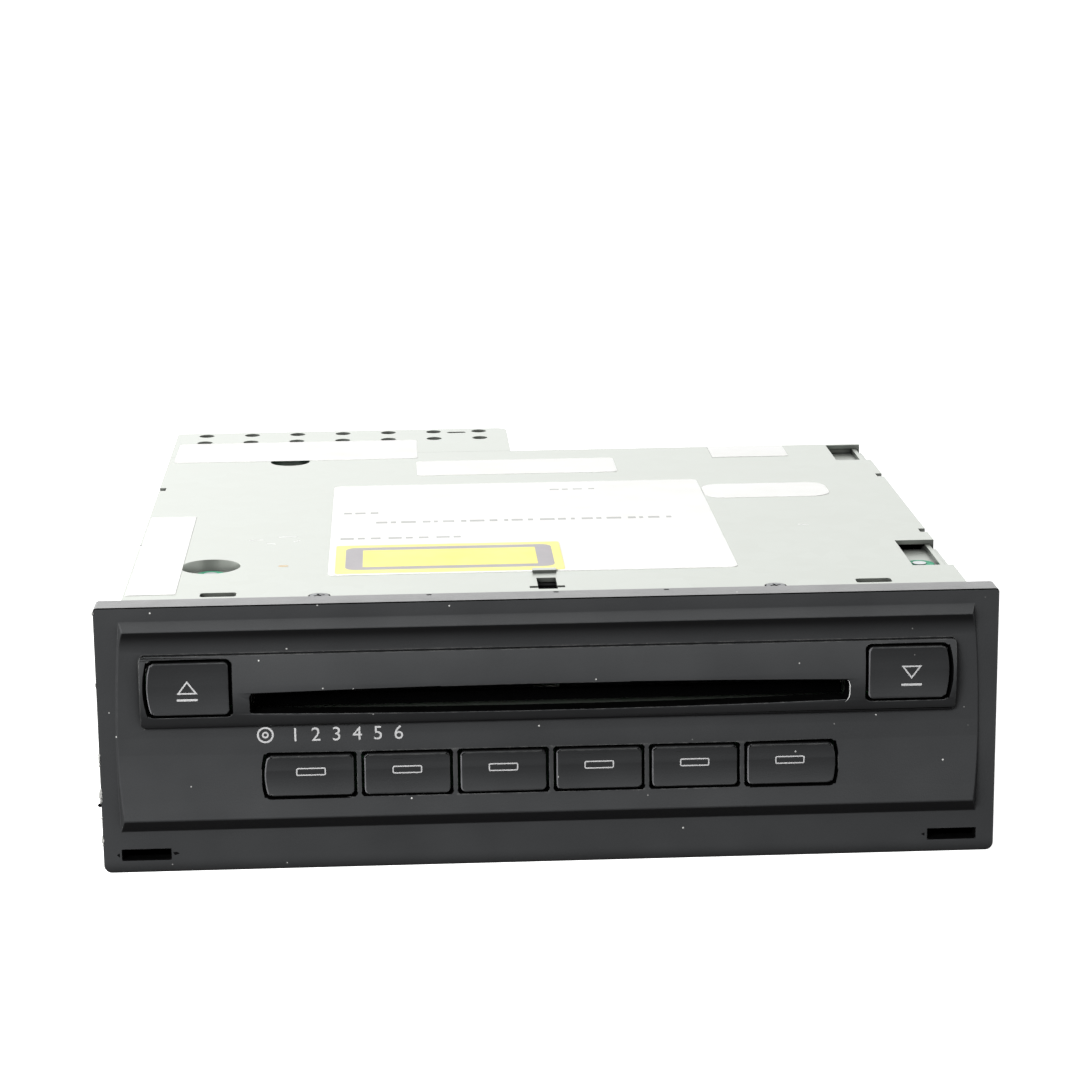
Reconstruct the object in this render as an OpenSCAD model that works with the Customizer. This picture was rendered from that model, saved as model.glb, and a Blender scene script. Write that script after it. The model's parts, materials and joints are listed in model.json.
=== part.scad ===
// Slot-loading six-disc changer for a car dashboard.
// X runs across the face, Y from the face to the rear, Z up. All sizes in millimetres.

/* [Face] */
// How far the moulded face stands past the chassis on each side
face_overhang = 5; // [4:0.5:8]
// Wall of the face moulding
face_t = 3; // [2.6:0.1:3.4]
// Radius of the face's four corners
face_r = 1.7; // [1:0.1:4]
// Corner radius of the face's two upper corners
face_top_r = 0.8; // [0.6:0.1:2]
// Depth of the rim that runs back round the edge of the face
rim_d = 6.5; // [6:0.5:7.5]
// Wall of that rim
rim_t = 1.5; // [1.2:0.1:1.8]
// Wall of the rim above the cover
rim_top_t = 0.9; // [0.8:0.1:1.4]
// Border between the face's edge and the raised field, left and right
side_border = 5.2; // [4:0.2:6]
// Border above the raised field
top_border = 3.2; // [3:0.1:4.5]
// Border below the raised field
bottom_border = 9.1; // [7:0.1:10]
// How far the field's sides bow out
field_bow = 1.5; // [0.5:0.1:1.8]
// How far the field stands proud of the face's border
field_p = 1.6; // [1.2:0.1:2]

/* [Slot band] */
// Height of the disc slot's middle above the bottom of the face
slot_z = 36.8; // [35:0.1:40]
// How much wider than a disc the slot is
slot_room = 4.6; // [3:0.2:8]
// Height of the slot in the middle
slot_h = 5.8; // [5:0.1:6]
// Border between the sides of the field and the raised band
band_inset = 3.8; // [3:0.2:4.6]
// Band below the slot's middle
band_below = 5.2; // [4.8:0.1:5.6]
// Band above the slot's middle
band_above = 10.5; // [10.2:0.1:11.2]
// How far the crown of the band stands proud of the border
band_p = 2.2; // [2:0.1:2.6]

/* [Keys] */
// Width of the opening for the eject or load key
big_key_w = 17.2; // [16:0.2:18]
// Height of that opening
big_key_h = 12.2; // [11:0.2:12.6]
// Border between the end of the band and a big key
big_key_inset = 1.8; // [1.2:0.1:2.2]
// Height of the big keys' middle above the slot's middle
big_key_rise = 3.4; // [3:0.1:3.8]
// Number of disc keys, one for each tray
disc_keys = 6; // [6:1:6]
// Width of the opening for one disc key
disc_key_w = 19; // [18:0.1:19.2]
// Height of that opening
disc_key_h = 9.7; // [9:0.1:10.4]
// Web between two disc keys
disc_key_web = 1.07; // [0.8:0.01:1.5]
// Distance of the disc keys' middle below the slot's middle
disc_key_drop = 16.1; // [15.4:0.1:16.4]
// Gap round each key in its opening
key_gap = 0.4; // [0.3:0.05:0.6]
// Travel of a key when it is pressed
key_travel = 0.8; // [0.6:0.1:1]

/* [Removal slots] */
// Width of the slot that a removal tool goes into
tool_slot_w = 10; // [8:0.5:11]
// Height of that slot
tool_slot_h = 2.1; // [1.8:0.1:2.4]
// Distance from the face's edge to the middle of each removal slot
tool_slot_inset = 9; // [8:0.5:10]
// Height of the middle of the removal slots
tool_slot_z = 3.9; // [3.7:0.1:4.2]

/* [Chassis] */
// Room from the edge of a stored disc to the outside of the chassis, left and right
side_room = 29; // [28:0.5:31]
// Thickness of the sheet
sheet = 1; // [0.8:0.1:1]
// Room behind a stored disc, up to the outside of the main rear wall
rear_room = 12.5; // [12.5:0.5:16]
// Depth of the ventilated extension behind the main rear wall
ext_d = 30.5; // [29:0.5:34]
// Width of the rear extension
ext_w = 87.5; // [86:0.5:89]
// Diameter of a ventilation hole
vent_d = 4; // [3:0.2:5]
// Spacing of the ventilation holes across the extension
vent_pitch = 12.05; // [11:0.05:12.4]
// Radius of a side hole for the dashboard frame's screws
side_hole_r = 2.1; // [1.6:0.1:2.6]
// Radius of the rear support's stud hole
stud_hole_r = 2.5; // [2:0.1:3]

/* [Mechanism] */
// Diameter of a disc
disc_d = 120; // [119:0.5:121]
// Depth from the face's border to the middle of a loaded disc
disc_y = 84; // [84:0.5:88]
// Thickness of a tray's floor
tray_t = 1.2; // [1:0.1:1.2]
// Height of a tray's rim over its floor
tray_rim = 0.8; // [0.6:0.1:0.8]
// Spacing of the trays in the stack
tray_pitch = 2.4; // [2.3:0.05:2.6]
// Radius of a lifting screw
screw_r = 3; // [2.5:0.1:3.2]
// Radial clearance between a lifting screw and a tray's ear
screw_gap = 0.1; // [0.05:0.01:0.15]
// Module of the small gears: pitch diameter over number of teeth
gear_module = 0.5; // [0.48:0.01:0.52]
// Radius of the spindle turntable
turntable_r = 14; // [12:0.5:14]
// Radius of the feed roller's rubber
roller_r = 3.4; // [3:0.1:3.5]

/* [Hidden] */
$fn = 48;
eps = 0.01;
running_gap = 0.05;
touch_gap = 0.1;
disc_r = disc_d / 2;
chassis_w = disc_d + 2 * side_room;
face_w = chassis_w + 2 * face_overhang;
slot_w = disc_d + slot_room;
half_w = chassis_w / 2;
wall_x = half_w - sheet;

// Levels of the tray stack, and from it those of the plates, the cover and the face
tray_z = slot_z - 2;
disc_floor_z = tray_z + tray_t;
stack_travel = tray_pitch * (disc_keys - 1);
bridge_t = 1;
bridge_z = tray_z + stack_travel + tray_t + tray_rim + 2;
shelf_z = bridge_z + 2.4;
cover_z = shelf_z + 2.2;
top_z = cover_z + sheet;
face_h = top_z + touch_gap + rim_top_t;

// Levels below the stack: playback deck, lift, base plate, main board and floor
deck_h = 7.8;
deck_t = 0.8;
pulley_h = 1.8;
base_t = 0.8;
board_t = 1.2;
deck_z = tray_z - stack_travel - 1.2 - deck_h;
pulley_z = deck_z - pulley_h - 0.4;
base_z = pulley_z - base_t - 0.2;
board_z = base_z - board_t - 1.2;
bottom_z = board_z - sheet - 0.8;

// Depths
front_wall_y = 8;
chassis_d = disc_y + disc_r + rear_room;
rear_y = chassis_d + ext_d;
face_y = -(rear_y - band_p) / 2;

// Raised field and band of the face
field_half = face_w / 2 - side_border;
field_z0 = bottom_border;
field_z1 = face_h - top_border;
field_wide_z = field_z0 + 14.5;
band_half = field_half - band_inset;
band_z0 = slot_z - band_below;
band_z1 = slot_z + band_above;
big_key_x = band_half - big_key_inset - big_key_w / 2;
big_key_z = slot_z + big_key_rise;
disc_key_pitch = disc_key_w + disc_key_web;
disc_key_z = slot_z - disc_key_drop;
tool_slot_x = face_w / 2 - tool_slot_inset;

// The keys: how deep their flange, stem and switch lie behind the face
flange_t = 0.6;
flange_lip = 0.8;
flange_y = face_t + running_gap;
stem_end_y = flange_y + flange_t + 0.5;
switch_y = stem_end_y + key_travel + 0.1;
board_y = switch_y + 1.1;
big_key_bow = 0.9;
disc_key_bow = 0.7;
key_corner_r = 1.1;
disc_key_x0 = -disc_key_pitch * (disc_keys - 1) / 2 + 0.05;

// Side holes for the dashboard frame, and the rear stud hole
side_hole_y = [40, 110];
side_hole_z = bottom_z + 13.6;
stud_hole = [40, bottom_z + 23.6];

// Screws, slits and notches of the cover
face_screw_x = [-47.7, 48.4];
face_screw_y = 10.4;
flush_d = 0.7;
cover_screw_y = 90;
cover_screw_z = cover_z - 4;
slit_x = [-69, 69.7];
slit_y = 13.1;
notch_y = [58, 118];

// Flat cable between the two boards
ribbon_x = 16;
ribbon_w = 12;

// Rivet of each release spring
rivet_y = 66;
rivet_z = bottom_z + 6.6;
rivet_r = 1;

// Studs under the main board
board_x0 = 10 - wall_x;
board_x1 = wall_x - 8;
board_posts = [[board_x0 + 8, 25], [board_x1 - 10, 20], [-40, chassis_d - 11.5],
               [board_x1 - 10, chassis_d - 16.5], [10, disc_y]];

// The rear extension
ext_x1 = -half_w + ext_w;
ext_wall_x = ext_x1 - sheet;
ext_corner_r = 3;
socket_x = 49 - half_w;
socket_z0 = bottom_z + 7.6;
socket_z1 = bottom_z + 23.6;

// Shelves that hold the four rubber dampers, below the cover's level
damper_r = 3.6;
damper_neck_r = 2.8;
damper_pin_r = 1.5;
damper_x = half_w - 5.8;
right_dampers = [[damper_x, 34], [damper_x, chassis_d - 17.5]];
left_dampers = [[17 - half_w, 38], [31 - half_w, chassis_d - 8.5]];
damper_head_h = 0.4;
pocket_radii = [7, 5.4];
right_cut_x = half_w - 8.8;
right_cuts = [[25.4, 48.6], [chassis_d - 20.1, chassis_d - 1.4]];

// Extent of the mechanism's plates, and the radius of the posts between them
pulley_r = 4.2;
belt_t = 0.8;
drive_gear_z = pulley_z + pulley_h + 0.2;
gear_t = 1.6;
mech_half = wall_x - sheet - 0.6;
mech_y0 = front_wall_y + sheet + 1.5;
mech_y1 = chassis_d - sheet - 1.5;
post_r = 2;

// The trays hang on three screws outside the disc
screw_x = disc_r + screw_r + 3;
screw_y = 29;
rear_screw_y = disc_y + disc_r + screw_r + 3;
screws = [[-screw_x, screw_y], [screw_x, screw_y], [0, rear_screw_y]];
tray_outer_r = disc_r + 4;
tray_inner_r = 38;
ear_r = screw_r + 1.4;
screw_top_z = bridge_z + bridge_t + 0.8;

// Feed roller and its gears
roller_z = disc_floor_z - roller_r;
roller_y = front_wall_y + sheet + 8;
shaft_r = 1.25;
bracket_x = disc_r + 4;
bracket_t = 1.5;
gear_x = -bracket_x - bracket_t - 2.9;
gear_w = 2;
roller_teeth = 24;
idler_teeth = 13;
pinion_teeth = 12;
lift_teeth = 36;
idler_z = roller_z - gear_module * (roller_teeth + idler_teeth) / 2;
pinion_z = idler_z - gear_module * (idler_teeth + pinion_teeth) / 2;
feed_motor_r = pinion_z - base_z - base_t;

// Playback deck: its own X runs from the pivot to the turntable
pivot = [17 - half_w, chassis_d - 15.5];
deck_len = norm(pivot - [0, disc_y]);
deck_half = 12;
disc_seat_z = deck_z + 4.2;
clamp_z = disc_seat_z + 1.4;
arm_t = 0.6;
arm_hinge_x = 12;
rod_z = deck_z + deck_t + 2.3;
rod_r = 0.9;
rod_y = 9;
pickup_l = 16;
pickup_x = deck_len - turntable_r - pickup_l - 1.5;
lift_motor_x = screw_x + gear_module * (lift_teeth + pinion_teeth) / 2;

// A block between two corners
module block(low, high) {
    translate(low) cube(high - low);
}

// A rectangle with round corners, built from exact arcs
module soft_rect(w, h, r) {
    square([w - 2 * r, h], center = true);
    square([w, h - 2 * r], center = true);
    for (sx = [-1, 1], sy = [-1, 1])
        translate([sx * (w / 2 - r), sy * (h / 2 - r)]) circle(r);
}

// Radius of the arc that rises by rise over a chord of 2 * half
function arc_r(half, rise) = (half * half + rise * rise) / (2 * rise);

// Extrudes an outline drawn in X and Z from y0 back to y1
module through_y(y0, y1) {
    translate([0, y1, 0]) rotate([90, 0, 0]) linear_extrude(y1 - y0) children();
}

// Extrudes a profile drawn in Y and Z along X, centred
module along_x(w) {
    rotate([90, 0, 90]) linear_extrude(w, center = true) children();
}

// Spur gear in the XY plane, one tooth pointing along +X turned by phase
module gear(teeth, thick, bore_r, phase = 0) {
    pitch_r = gear_module * teeth / 2;
    root_r = pitch_r - 1.3 * gear_module;
    tip_r = pitch_r + 0.85 * gear_module;
    half_root = 1.0 * gear_module;
    half_tip = 0.32 * gear_module;
    difference() {
        linear_extrude(thick)
            union() {
                circle(root_r);
                for (k = [0 : teeth - 1])
                    rotate(phase + k * 360 / teeth)
                        polygon([[root_r - 0.3, -half_root], [tip_r, -half_tip],
                                 [tip_r, half_tip], [root_r - 0.3, half_root]]);
            }
        translate([0, 0, -1]) cylinder(r = bore_r, h = thick + 2);
    }
}

// A gear whose axis lies along X, starting at x0
module gear_along_x(teeth, x0, y, z, bore_r, phase) {
    translate([x0, y, z]) rotate([90, 0, 90]) gear(teeth, gear_w, bore_r, phase);
}

// ---- Face ----

// Outline of a key's opening; side is -1 or 1 where that side bows out
module key_outline(w, h, bow, side, shrink = 0) {
    kw = w - 2 * shrink;
    kh = h - 2 * shrink;
    arc = arc_r(kh / 2, bow);
    soft_rect(kw, kh, key_corner_r);
    if (side != 0)
        intersection() {
            translate([side * (kw / 2 + bow - arc), 0]) circle(arc, $fn = 160);
            translate([side * kw / 4, 0]) square([kw / 2 + 2 * bow, kh - 0.8], center = true);
        }
}

module big_key_outline(side, shrink = 0) {
    translate([side * big_key_x, big_key_z])
        key_outline(big_key_w, big_key_h, big_key_bow, side, shrink);
}

// The first and last disc keys have one bowed side each
module disc_key_outline(k, shrink = 0) {
    side = k == 1 ? -1 : k == disc_keys ? 1 : 0;
    translate([disc_key_x0 + (k - 1) * disc_key_pitch, disc_key_z])
        key_outline(disc_key_w, disc_key_h, disc_key_bow, side, shrink);
}

// Outline of the raised field: its sides bow out
module field_sides() {
    fall = field_z1 - field_wide_z;
    side_r = arc_r(fall, field_bow);
    bevel = 0.9;
    intersection_for(side = [-1, 1])
        translate([side * (field_half + field_bow - side_r), -field_p - 1, field_wide_z])
            rotate([-90, 0, 0])
                cylinder(r1 = side_r - bevel * (1 + 1 / field_p), r2 = side_r + bevel / field_p,
                         h = field_p + 2, $fn = 720);
}
module slot_outline() {
    lens = arc_r(slot_w / 2 - 4, 0.7);
    end_h = slot_h - 0.6;
    translate([0, slot_z])
        intersection() {
            soft_rect(slot_w, slot_h, end_h / 2 - 0.5);
            translate([0, slot_h / 2 - lens]) circle(lens, $fn = 1200);
            translate([0, lens - slot_h / 2]) circle(lens, $fn = 1200);
        }
}

// Section of the raised field: a step at the foot, a slope at the head and two troughs
module field_section() {
    head = 1.7;
    foot = 2.4;
    trough = 0.4;
    low_mid = band_z0 - 2.3;
    low_end = field_z0 + foot + 0.4;
    low_arc = arc_r(low_mid - low_end, field_p - trough);
    high_mid = band_z1 + 0.6;
    high_arc = arc_r(field_z1 - head - high_mid, field_p - trough);
    difference() {
        polygon([[1, field_z0], [0, field_z0], [-field_p, field_z0 + foot],
                 [-field_p, field_z1 - head], [0, field_z1], [1, field_z1]]);
        intersection() {
            translate([-trough - low_arc, low_mid]) circle(low_arc, $fn = 400);
            translate([-field_p - 1, low_end]) square([field_p + 2, low_mid - low_end]);
        }
        translate([-field_p - 1, low_mid]) square([field_p + 1 - trough, high_mid - low_mid]);
        intersection() {
            translate([-trough - high_arc, high_mid]) circle(high_arc, $fn = 160);
            translate([-field_p - 1, high_mid]) square([field_p + 2, field_z1 - head - high_mid]);
        }
    }
}
module band_section() {
    mid = (band_z0 + band_z1) / 2;
    arc = arc_r((band_z1 - band_z0) / 2, 1.2);
    intersection() {
        translate([arc - band_p, mid]) circle(arc, $fn = 240);
        translate([-band_p, band_z0]) square([band_p + 1, band_z1 - band_z0]);
    }
}

module face_outline() {
    soft_rect(face_w, face_h, face_r);
    translate([0, face_h / 4]) soft_rect(face_w, face_h / 2, face_top_r);
}
module front_bezel() {
    rim_back = rim_d;
    tongue_z = cover_z - 2.4;
    tongue_y1 = 23;
    sleeve_y1 = 7.9;
    sleeve_t = 1.1;
    color("#38383a")
        difference() {
            union() {
                difference() {
                    translate([0, 0, face_h / 2])
                        through_y(0, rim_back) face_outline();
                    block([-face_w / 2 + rim_t, face_t, rim_t],
                          [face_w / 2 - rim_t, rim_back + 1, face_h - rim_top_t]);
                }
                intersection() {
                    along_x(face_w) field_section();
                    field_sides();
                }
                intersection() {
                    along_x(2 * band_half) band_section();
                    translate([0, 0, (band_z0 + band_z1) / 2])
                        through_y(-band_p - 1, 1)
                            soft_rect(2 * band_half, band_z1 - band_z0, 1.2);
                }
                // posts that the key board is screwed to
                for (x = [-50, -25, 25, 50])
                    translate([x, board_y, band_z0 - 2.6])
                        rotate([90, 0, 0]) cylinder(r = 1.8, h = board_y - face_t + 1);
                // snap tongue: it runs back under the cover, and its hook ends below the window
                block([-3.2, face_t - eps, tongue_z], [4, tongue_y1, tongue_z + 1.6]);
                block([-3.2, tongue_y1 - 1, tongue_z], [4, tongue_y1, cover_z - 0.2]);
                // sleeves that guide a removal tool to the spring behind
                for (side = [-1, 1])
                    translate([side * tool_slot_x, 0, tool_slot_z])
                        through_y(face_t - eps, sleeve_y1)
                            square([tool_slot_w + 2 * sleeve_t, tool_slot_h + 2 * sleeve_t],
                                   center = true);
            }
            through_y(-band_p - 1, face_t + 1) slot_outline();
            for (side = [-1, 1]) {
                through_y(-band_p - 1, face_t + 1) big_key_outline(side);
                translate([side * tool_slot_x, 0, tool_slot_z])
                    through_y(-1, sleeve_y1 + 1) square([tool_slot_w, tool_slot_h], center = true);
            }
            for (k = [1 : disc_keys])
                through_y(-band_p - 1, face_t + 1) disc_key_outline(k);
        }
}

// A key: its dished face, the body in the opening, a flange behind it and a stem
module key(front_p, dish, dish_z, mid, h) {
    arc = arc_r(h / 2, dish);
    difference() {
        through_y(-front_p, flange_y + eps) children(0);
        translate([mid[0], -front_p + dish - arc, dish_z])
            rotate([0, 90, 0]) cylinder(r = arc, h = 60, center = true, $fn = 240);
    }
    through_y(flange_y, flange_y + flange_t) children(1);
    translate([mid[0], stem_end_y, mid[1]]) rotate([90, 0, 0]) cylinder(r = 1.5, h = 1);
}

module big_button(side) {
    color("#323234")
        key(band_p - 0.1, 0.5, big_key_z + 1.5, [side * big_key_x, big_key_z], big_key_h) {
            big_key_outline(side, key_gap);
            translate([side * big_key_x, big_key_z])
                square([big_key_w + 2 * flange_lip, big_key_h - 2], center = true);
        }
}

module disc_button(k) {
    x = disc_key_x0 + (k - 1) * disc_key_pitch;
    color("#323234")
        key(field_p + 0.1, 0.6, disc_key_z + 2.5, [x, disc_key_z], disc_key_h) {
            disc_key_outline(k, key_gap);
            translate([x, disc_key_z])
                square([disc_key_w - 3, disc_key_h + 2 * flange_lip], center = true);
        }
}

// Board behind the keys: one strip low down, and a wing up to each big key
module front_circuit_board() {
    color("#2f6b3c")
        difference() {
            union() {
                block([-big_key_x - 10, board_y, bottom_z + 2.6], [big_key_x + 10, board_y + board_t, band_z0]);
                for (side = [-1, 1])
                    translate([side * big_key_x, board_y, big_key_z - 9])
                        translate([-10, 0, 0]) cube([20, board_t, 16]);
            }
            for (x = [-50, -25, 25, 50])
                translate([x, board_y + board_t + 1, band_z0 - 2.6])
                    rotate([90, 0, 0]) cylinder(r = 1, h = board_t + 2);
        }
}

// One tactile switch behind each key
module key_switches() {
    places = concat([for (side = [-1, 1]) [side * big_key_x, big_key_z]],
                    [for (k = [0 : disc_keys - 1]) [disc_key_x0 + k * disc_key_pitch, disc_key_z]]);
    color("#c9c9c4")
        for (p = places)
            translate([p[0], 0, p[1]]) {
                block([-3, switch_y + 0.4, -3], [3, board_y, 3]);
                translate([0, switch_y + 0.5, 0]) rotate([90, 0, 0]) cylinder(r = 1.6, h = 0.5);
            }
}

// Felt lips above and below the disc's way in, stuck to the chassis's front wall
module slot_felts() {
    color("#121212")
        for (side = [-1, 1])
            translate([0, 0, slot_z + side * 1.85])
                block([0.6 - slot_w / 2, board_y, -1.1], [slot_w / 2 - 0.6, front_wall_y, 1.1]);
}

// ---- Chassis ----

// Folded pan: floor, front wall and the studs of the main board
module chassis_base() {
    color("#b9bec0")
        difference() {
            union() {
                block([-wall_x, front_wall_y, bottom_z], [wall_x, chassis_d, bottom_z + sheet]);
                block([-wall_x, front_wall_y, bottom_z], [wall_x, front_wall_y + sheet, cover_z]);
                // flange along the top of the front wall, under the two face screws
                block([sheet - wall_x, front_wall_y, cover_z - sheet],
                      [wall_x - sheet, front_wall_y + 5, cover_z]);
                for (p = board_posts)
                    translate([p[0], p[1], bottom_z]) cylinder(r = 2.4, h = board_z - bottom_z);
            }
            // window for the disc, and for the face's snap tongue
            through_y(front_wall_y - 1, front_wall_y + sheet + 1)
                translate([0, slot_z]) square([slot_w, slot_h + 1], center = true);
            block([-4.5, front_wall_y - 1, cover_z - 3], [5, front_wall_y + 6, cover_z + 1]);
            // way out for the flat cable
            block([ribbon_x - 0.4, front_wall_y - 1, bottom_z + sheet],
                  [ribbon_x + ribbon_w + 0.4, front_wall_y + sheet + 1, board_z + board_t + 0.8]);
        }
}

// The two side plates: lips under the cover, and on the right the damper shelves
module chassis_sides() {
    lip_w = 5;
    color("#b9bec0")
        difference() {
            union() {
                for (x = [-wall_x, wall_x - sheet])
                    block([x, front_wall_y + sheet, bottom_z + sheet], [x + sheet, chassis_d, cover_z]);
                for (x = [-wall_x, wall_x - lip_w])
                    block([x, 60, cover_z - sheet], [x + lip_w, chassis_d - 28, cover_z]);
                for (c = right_cuts)
                    block([right_cut_x + 1.6, c[0] + 0.6, shelf_z],
                          [half_w + 0.6, c[1] - 0.05, shelf_z + sheet]);
            }
            for (p = right_dampers)
                translate([p[0], p[1], shelf_z - 1]) cylinder(r = damper_neck_r + 0.05, h = sheet + 2);
            // side holes for the dashboard frame's screws
            for (y = side_hole_y)
                translate([0, y, side_hole_z]) rotate([0, 90, 0])
                    cylinder(r = side_hole_r, h = 2 * wall_x + 2, center = true);
            // holes for the rivets of the release springs and for the cover's screws
            for (sx = [-1, 1]) {
                translate([sx * wall_x, rivet_y, rivet_z]) rotate([0, 90, 0])
                    cylinder(r = rivet_r + running_gap, h = 3 * sheet, center = true);
                translate([sx * wall_x, cover_screw_y, cover_screw_z]) rotate([0, 90, 0])
                    cylinder(r = 1.3, h = 3 * sheet, center = true);
            }
        }
}

// Cover sheet with its skirts, the cut-outs for the right shelves and the pressed pockets
module top_cover() {
    front_y = face_t + 0.3;
    skirt_z = cover_z - 8;
    color("#cfd3d3")
        difference() {
            union() {
                block([-half_w, front_y, cover_z], [half_w, chassis_d, top_z]);
                block([-half_w, rim_d + 0.5, skirt_z], [-wall_x - running_gap, chassis_d, cover_z + eps]);
                block([wall_x + running_gap, rim_d + 0.5, skirt_z], [half_w, chassis_d, cover_z + eps]);
                for (k = [0, 1])
                    translate([left_dampers[k][0], left_dampers[k][1], shelf_z])
                        cylinder(r = pocket_radii[k], h = top_z - shelf_z);
                // tongue lanced out of the sheet behind the snap window
                block([-2.2, 26, top_z - eps], [2.9, 28, top_z + 0.6]);
            }
            for (k = [0, 1])
                translate([left_dampers[k][0], left_dampers[k][1], 0]) {
                    translate([0, 0, shelf_z + sheet])
                        cylinder(r1 = pocket_radii[k] - sheet, r2 = pocket_radii[k] - 0.2,
                                 h = top_z - shelf_z);
                    translate([0, 0, shelf_z - 1])
                        cylinder(r = damper_neck_r + 0.05, h = sheet + 2);
                }
            for (c = right_cuts)
                block([right_cut_x, c[0], skirt_z - 1], [half_w + 1, c[1], top_z + 1]);
            // side notches
            for (x = [-half_w, half_w], y = notch_y)
                block([x - 1.6, y - 1.6, cover_z - 3], [x + 1.6, y + 1.6, top_z + 1]);
            // two slits, two screw holes and two pin holes behind the face
            for (x = slit_x)
                translate([x, slit_y, cover_z - 1]) linear_extrude(sheet + 2) soft_rect(7.6, 3.4, 0.7);
            for (x = face_screw_x)
                translate([x, face_screw_y, cover_z - 1]) {
                    cylinder(r = 1.6, h = sheet + 2);
                    translate([0, 0, 1 + sheet - flush_d]) cylinder(r = 2.35, h = 2);
                }
            for (x = [-24.8, 24.8])
                translate([x, 9.2, cover_z - 1]) cylinder(r = 0.4, h = sheet + 2);
            // window for the face's snap tongue
            block([-1.6, 12, cover_z - 1], [2.5, 21.6, top_z + 1]);
            block([-3.4, 13, cover_z - 1], [4.1, 14.6, top_z + 1]);
            // holes for the screws through the skirts
            translate([0, cover_screw_y, cover_screw_z]) rotate([0, 90, 0])
                cylinder(r = 1.3, h = 2 * half_w + 2, center = true);
        }
}

// Main rear wall: its left part is open into the extension
module rear_panel() {
    foot_z = bottom_z + sheet;
    color("#b9bec0")
        difference() {
            block([-wall_x + sheet, chassis_d - sheet, foot_z], [wall_x - sheet, chassis_d, cover_z]);
            block([-wall_x + 2 * sheet, chassis_d - sheet - 1, foot_z + 0.4],
                  [ext_wall_x - 4, chassis_d + 1, foot_z + 30]);
            translate([stud_hole[0], chassis_d, stud_hole[1]]) rotate([90, 0, 0])
                cylinder(r = stud_hole_r, h = 3 * sheet, center = true);
            // small vents beside the extension
            for (k = [0 : 5], z = [15, 31])
                translate([12 + k * 4, chassis_d, foot_z + z]) rotate([90, 0, 0])
                    cylinder(r = 1.2, h = 3 * sheet, center = true);
        }
}

// Tub of the extension: floor and three walls, with the window of the plug socket
module rear_housing() {
    color("#b9bec0")
        difference() {
            union() {
                linear_extrude_between(bottom_z, cover_z)
                    difference() {
                        vent_plan(sheet);
                        vent_plan(2 * sheet);
                    }
                linear_extrude_between(bottom_z, bottom_z + sheet) vent_plan(sheet);
            }
            block([-half_w, chassis_d - 2, bottom_z - 1], [half_w, chassis_d, cover_z + 1]);
            block([socket_x - 22.2, rear_y - 4, socket_z0 - 0.2],
                  [socket_x + 22.2, rear_y, socket_z1 + 0.2]);
        }
}

// Lid of the extension: round rear corner, skirts and two rows of ventilation holes
module rear_vent_cover() {
    skirt_z = cover_z - 8;
    rows = [rear_y - 3.6, rear_y - 12.6];
    color("#c6cacb")
        difference() {
            linear_extrude_between(skirt_z, top_z) vent_plan(0);
            linear_extrude_between(skirt_z - 1, cover_z) vent_plan(sheet);
            for (k = [0 : 6], y = rows)
                translate([-half_w + 7.8 + k * vent_pitch, y, cover_z - 1])
                    cylinder(r = vent_d / 2, h = sheet + 2);
            translate([-half_w + 7.8 + 5.5 * vent_pitch, rear_y - 5, cover_z - 1])
                linear_extrude(sheet + 2) soft_rect(5, 1.6, 0.7);
            block([-half_w - 1, chassis_d - 1, skirt_z - 1],
                  [ext_x1 + 1, chassis_d + running_gap, top_z + 1]);
        }
}

module linear_extrude_between(z0, z1) {
    translate([0, 0, z0]) linear_extrude(z1 - z0) children();
}

// Plan of the extension's lid, drawn in by inset on its three outer sides
module vent_plan(inset) {
    x0 = -half_w + inset;
    x1 = ext_x1 - inset;
    y1 = rear_y - inset;
    r = ext_corner_r - inset;
    translate([x0, chassis_d - 1]) square([x1 - x0 - r, y1 - chassis_d + 1]);
    translate([x0, chassis_d - 1]) square([x1 - x0, y1 - r - chassis_d + 1]);
    translate([x1 - r, y1 - r]) circle(r);
}

// Cross-slot pan-head screw, pointing down from its seat
module flush_screw(head_r, shank_r, length) {
    difference() {
        union() {
            cylinder(r = head_r, h = flush_d + 0.1);
            translate([0, 0, -length]) cylinder(r = shank_r, h = length + eps);
        }
        for (a = [0, 90])
            rotate(a + 20) translate([0, 0, flush_d]) cube([head_r * 1.2, 0.5, 0.7], center = true);
    }
}
module pan_screw(head_r, shank_r, length) {
    difference() {
        union() {
            cylinder(r1 = head_r, r2 = head_r * 0.75, h = 1.1);
            translate([0, 0, -length]) cylinder(r = shank_r, h = length + eps);
        }
        for (a = [0, 90])
            rotate(a + 20) translate([0, 0, 1]) cube([head_r * 1.2, 0.5, 1.2], center = true);
    }
}

module bezel_screws() {
    color("#8c9092")
        for (x = face_screw_x)
            translate([x, face_screw_y, top_z - flush_d]) flush_screw(2, 1.55, sheet - flush_d);
}

module cover_screws() {
    color("#8c9092")
        for (side = [-1, 1])
            translate([side * half_w, cover_screw_y, cover_screw_z])
                rotate([0, side * 90, 0]) pan_screw(2.2, 1.25, 2 * sheet);
}

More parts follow.
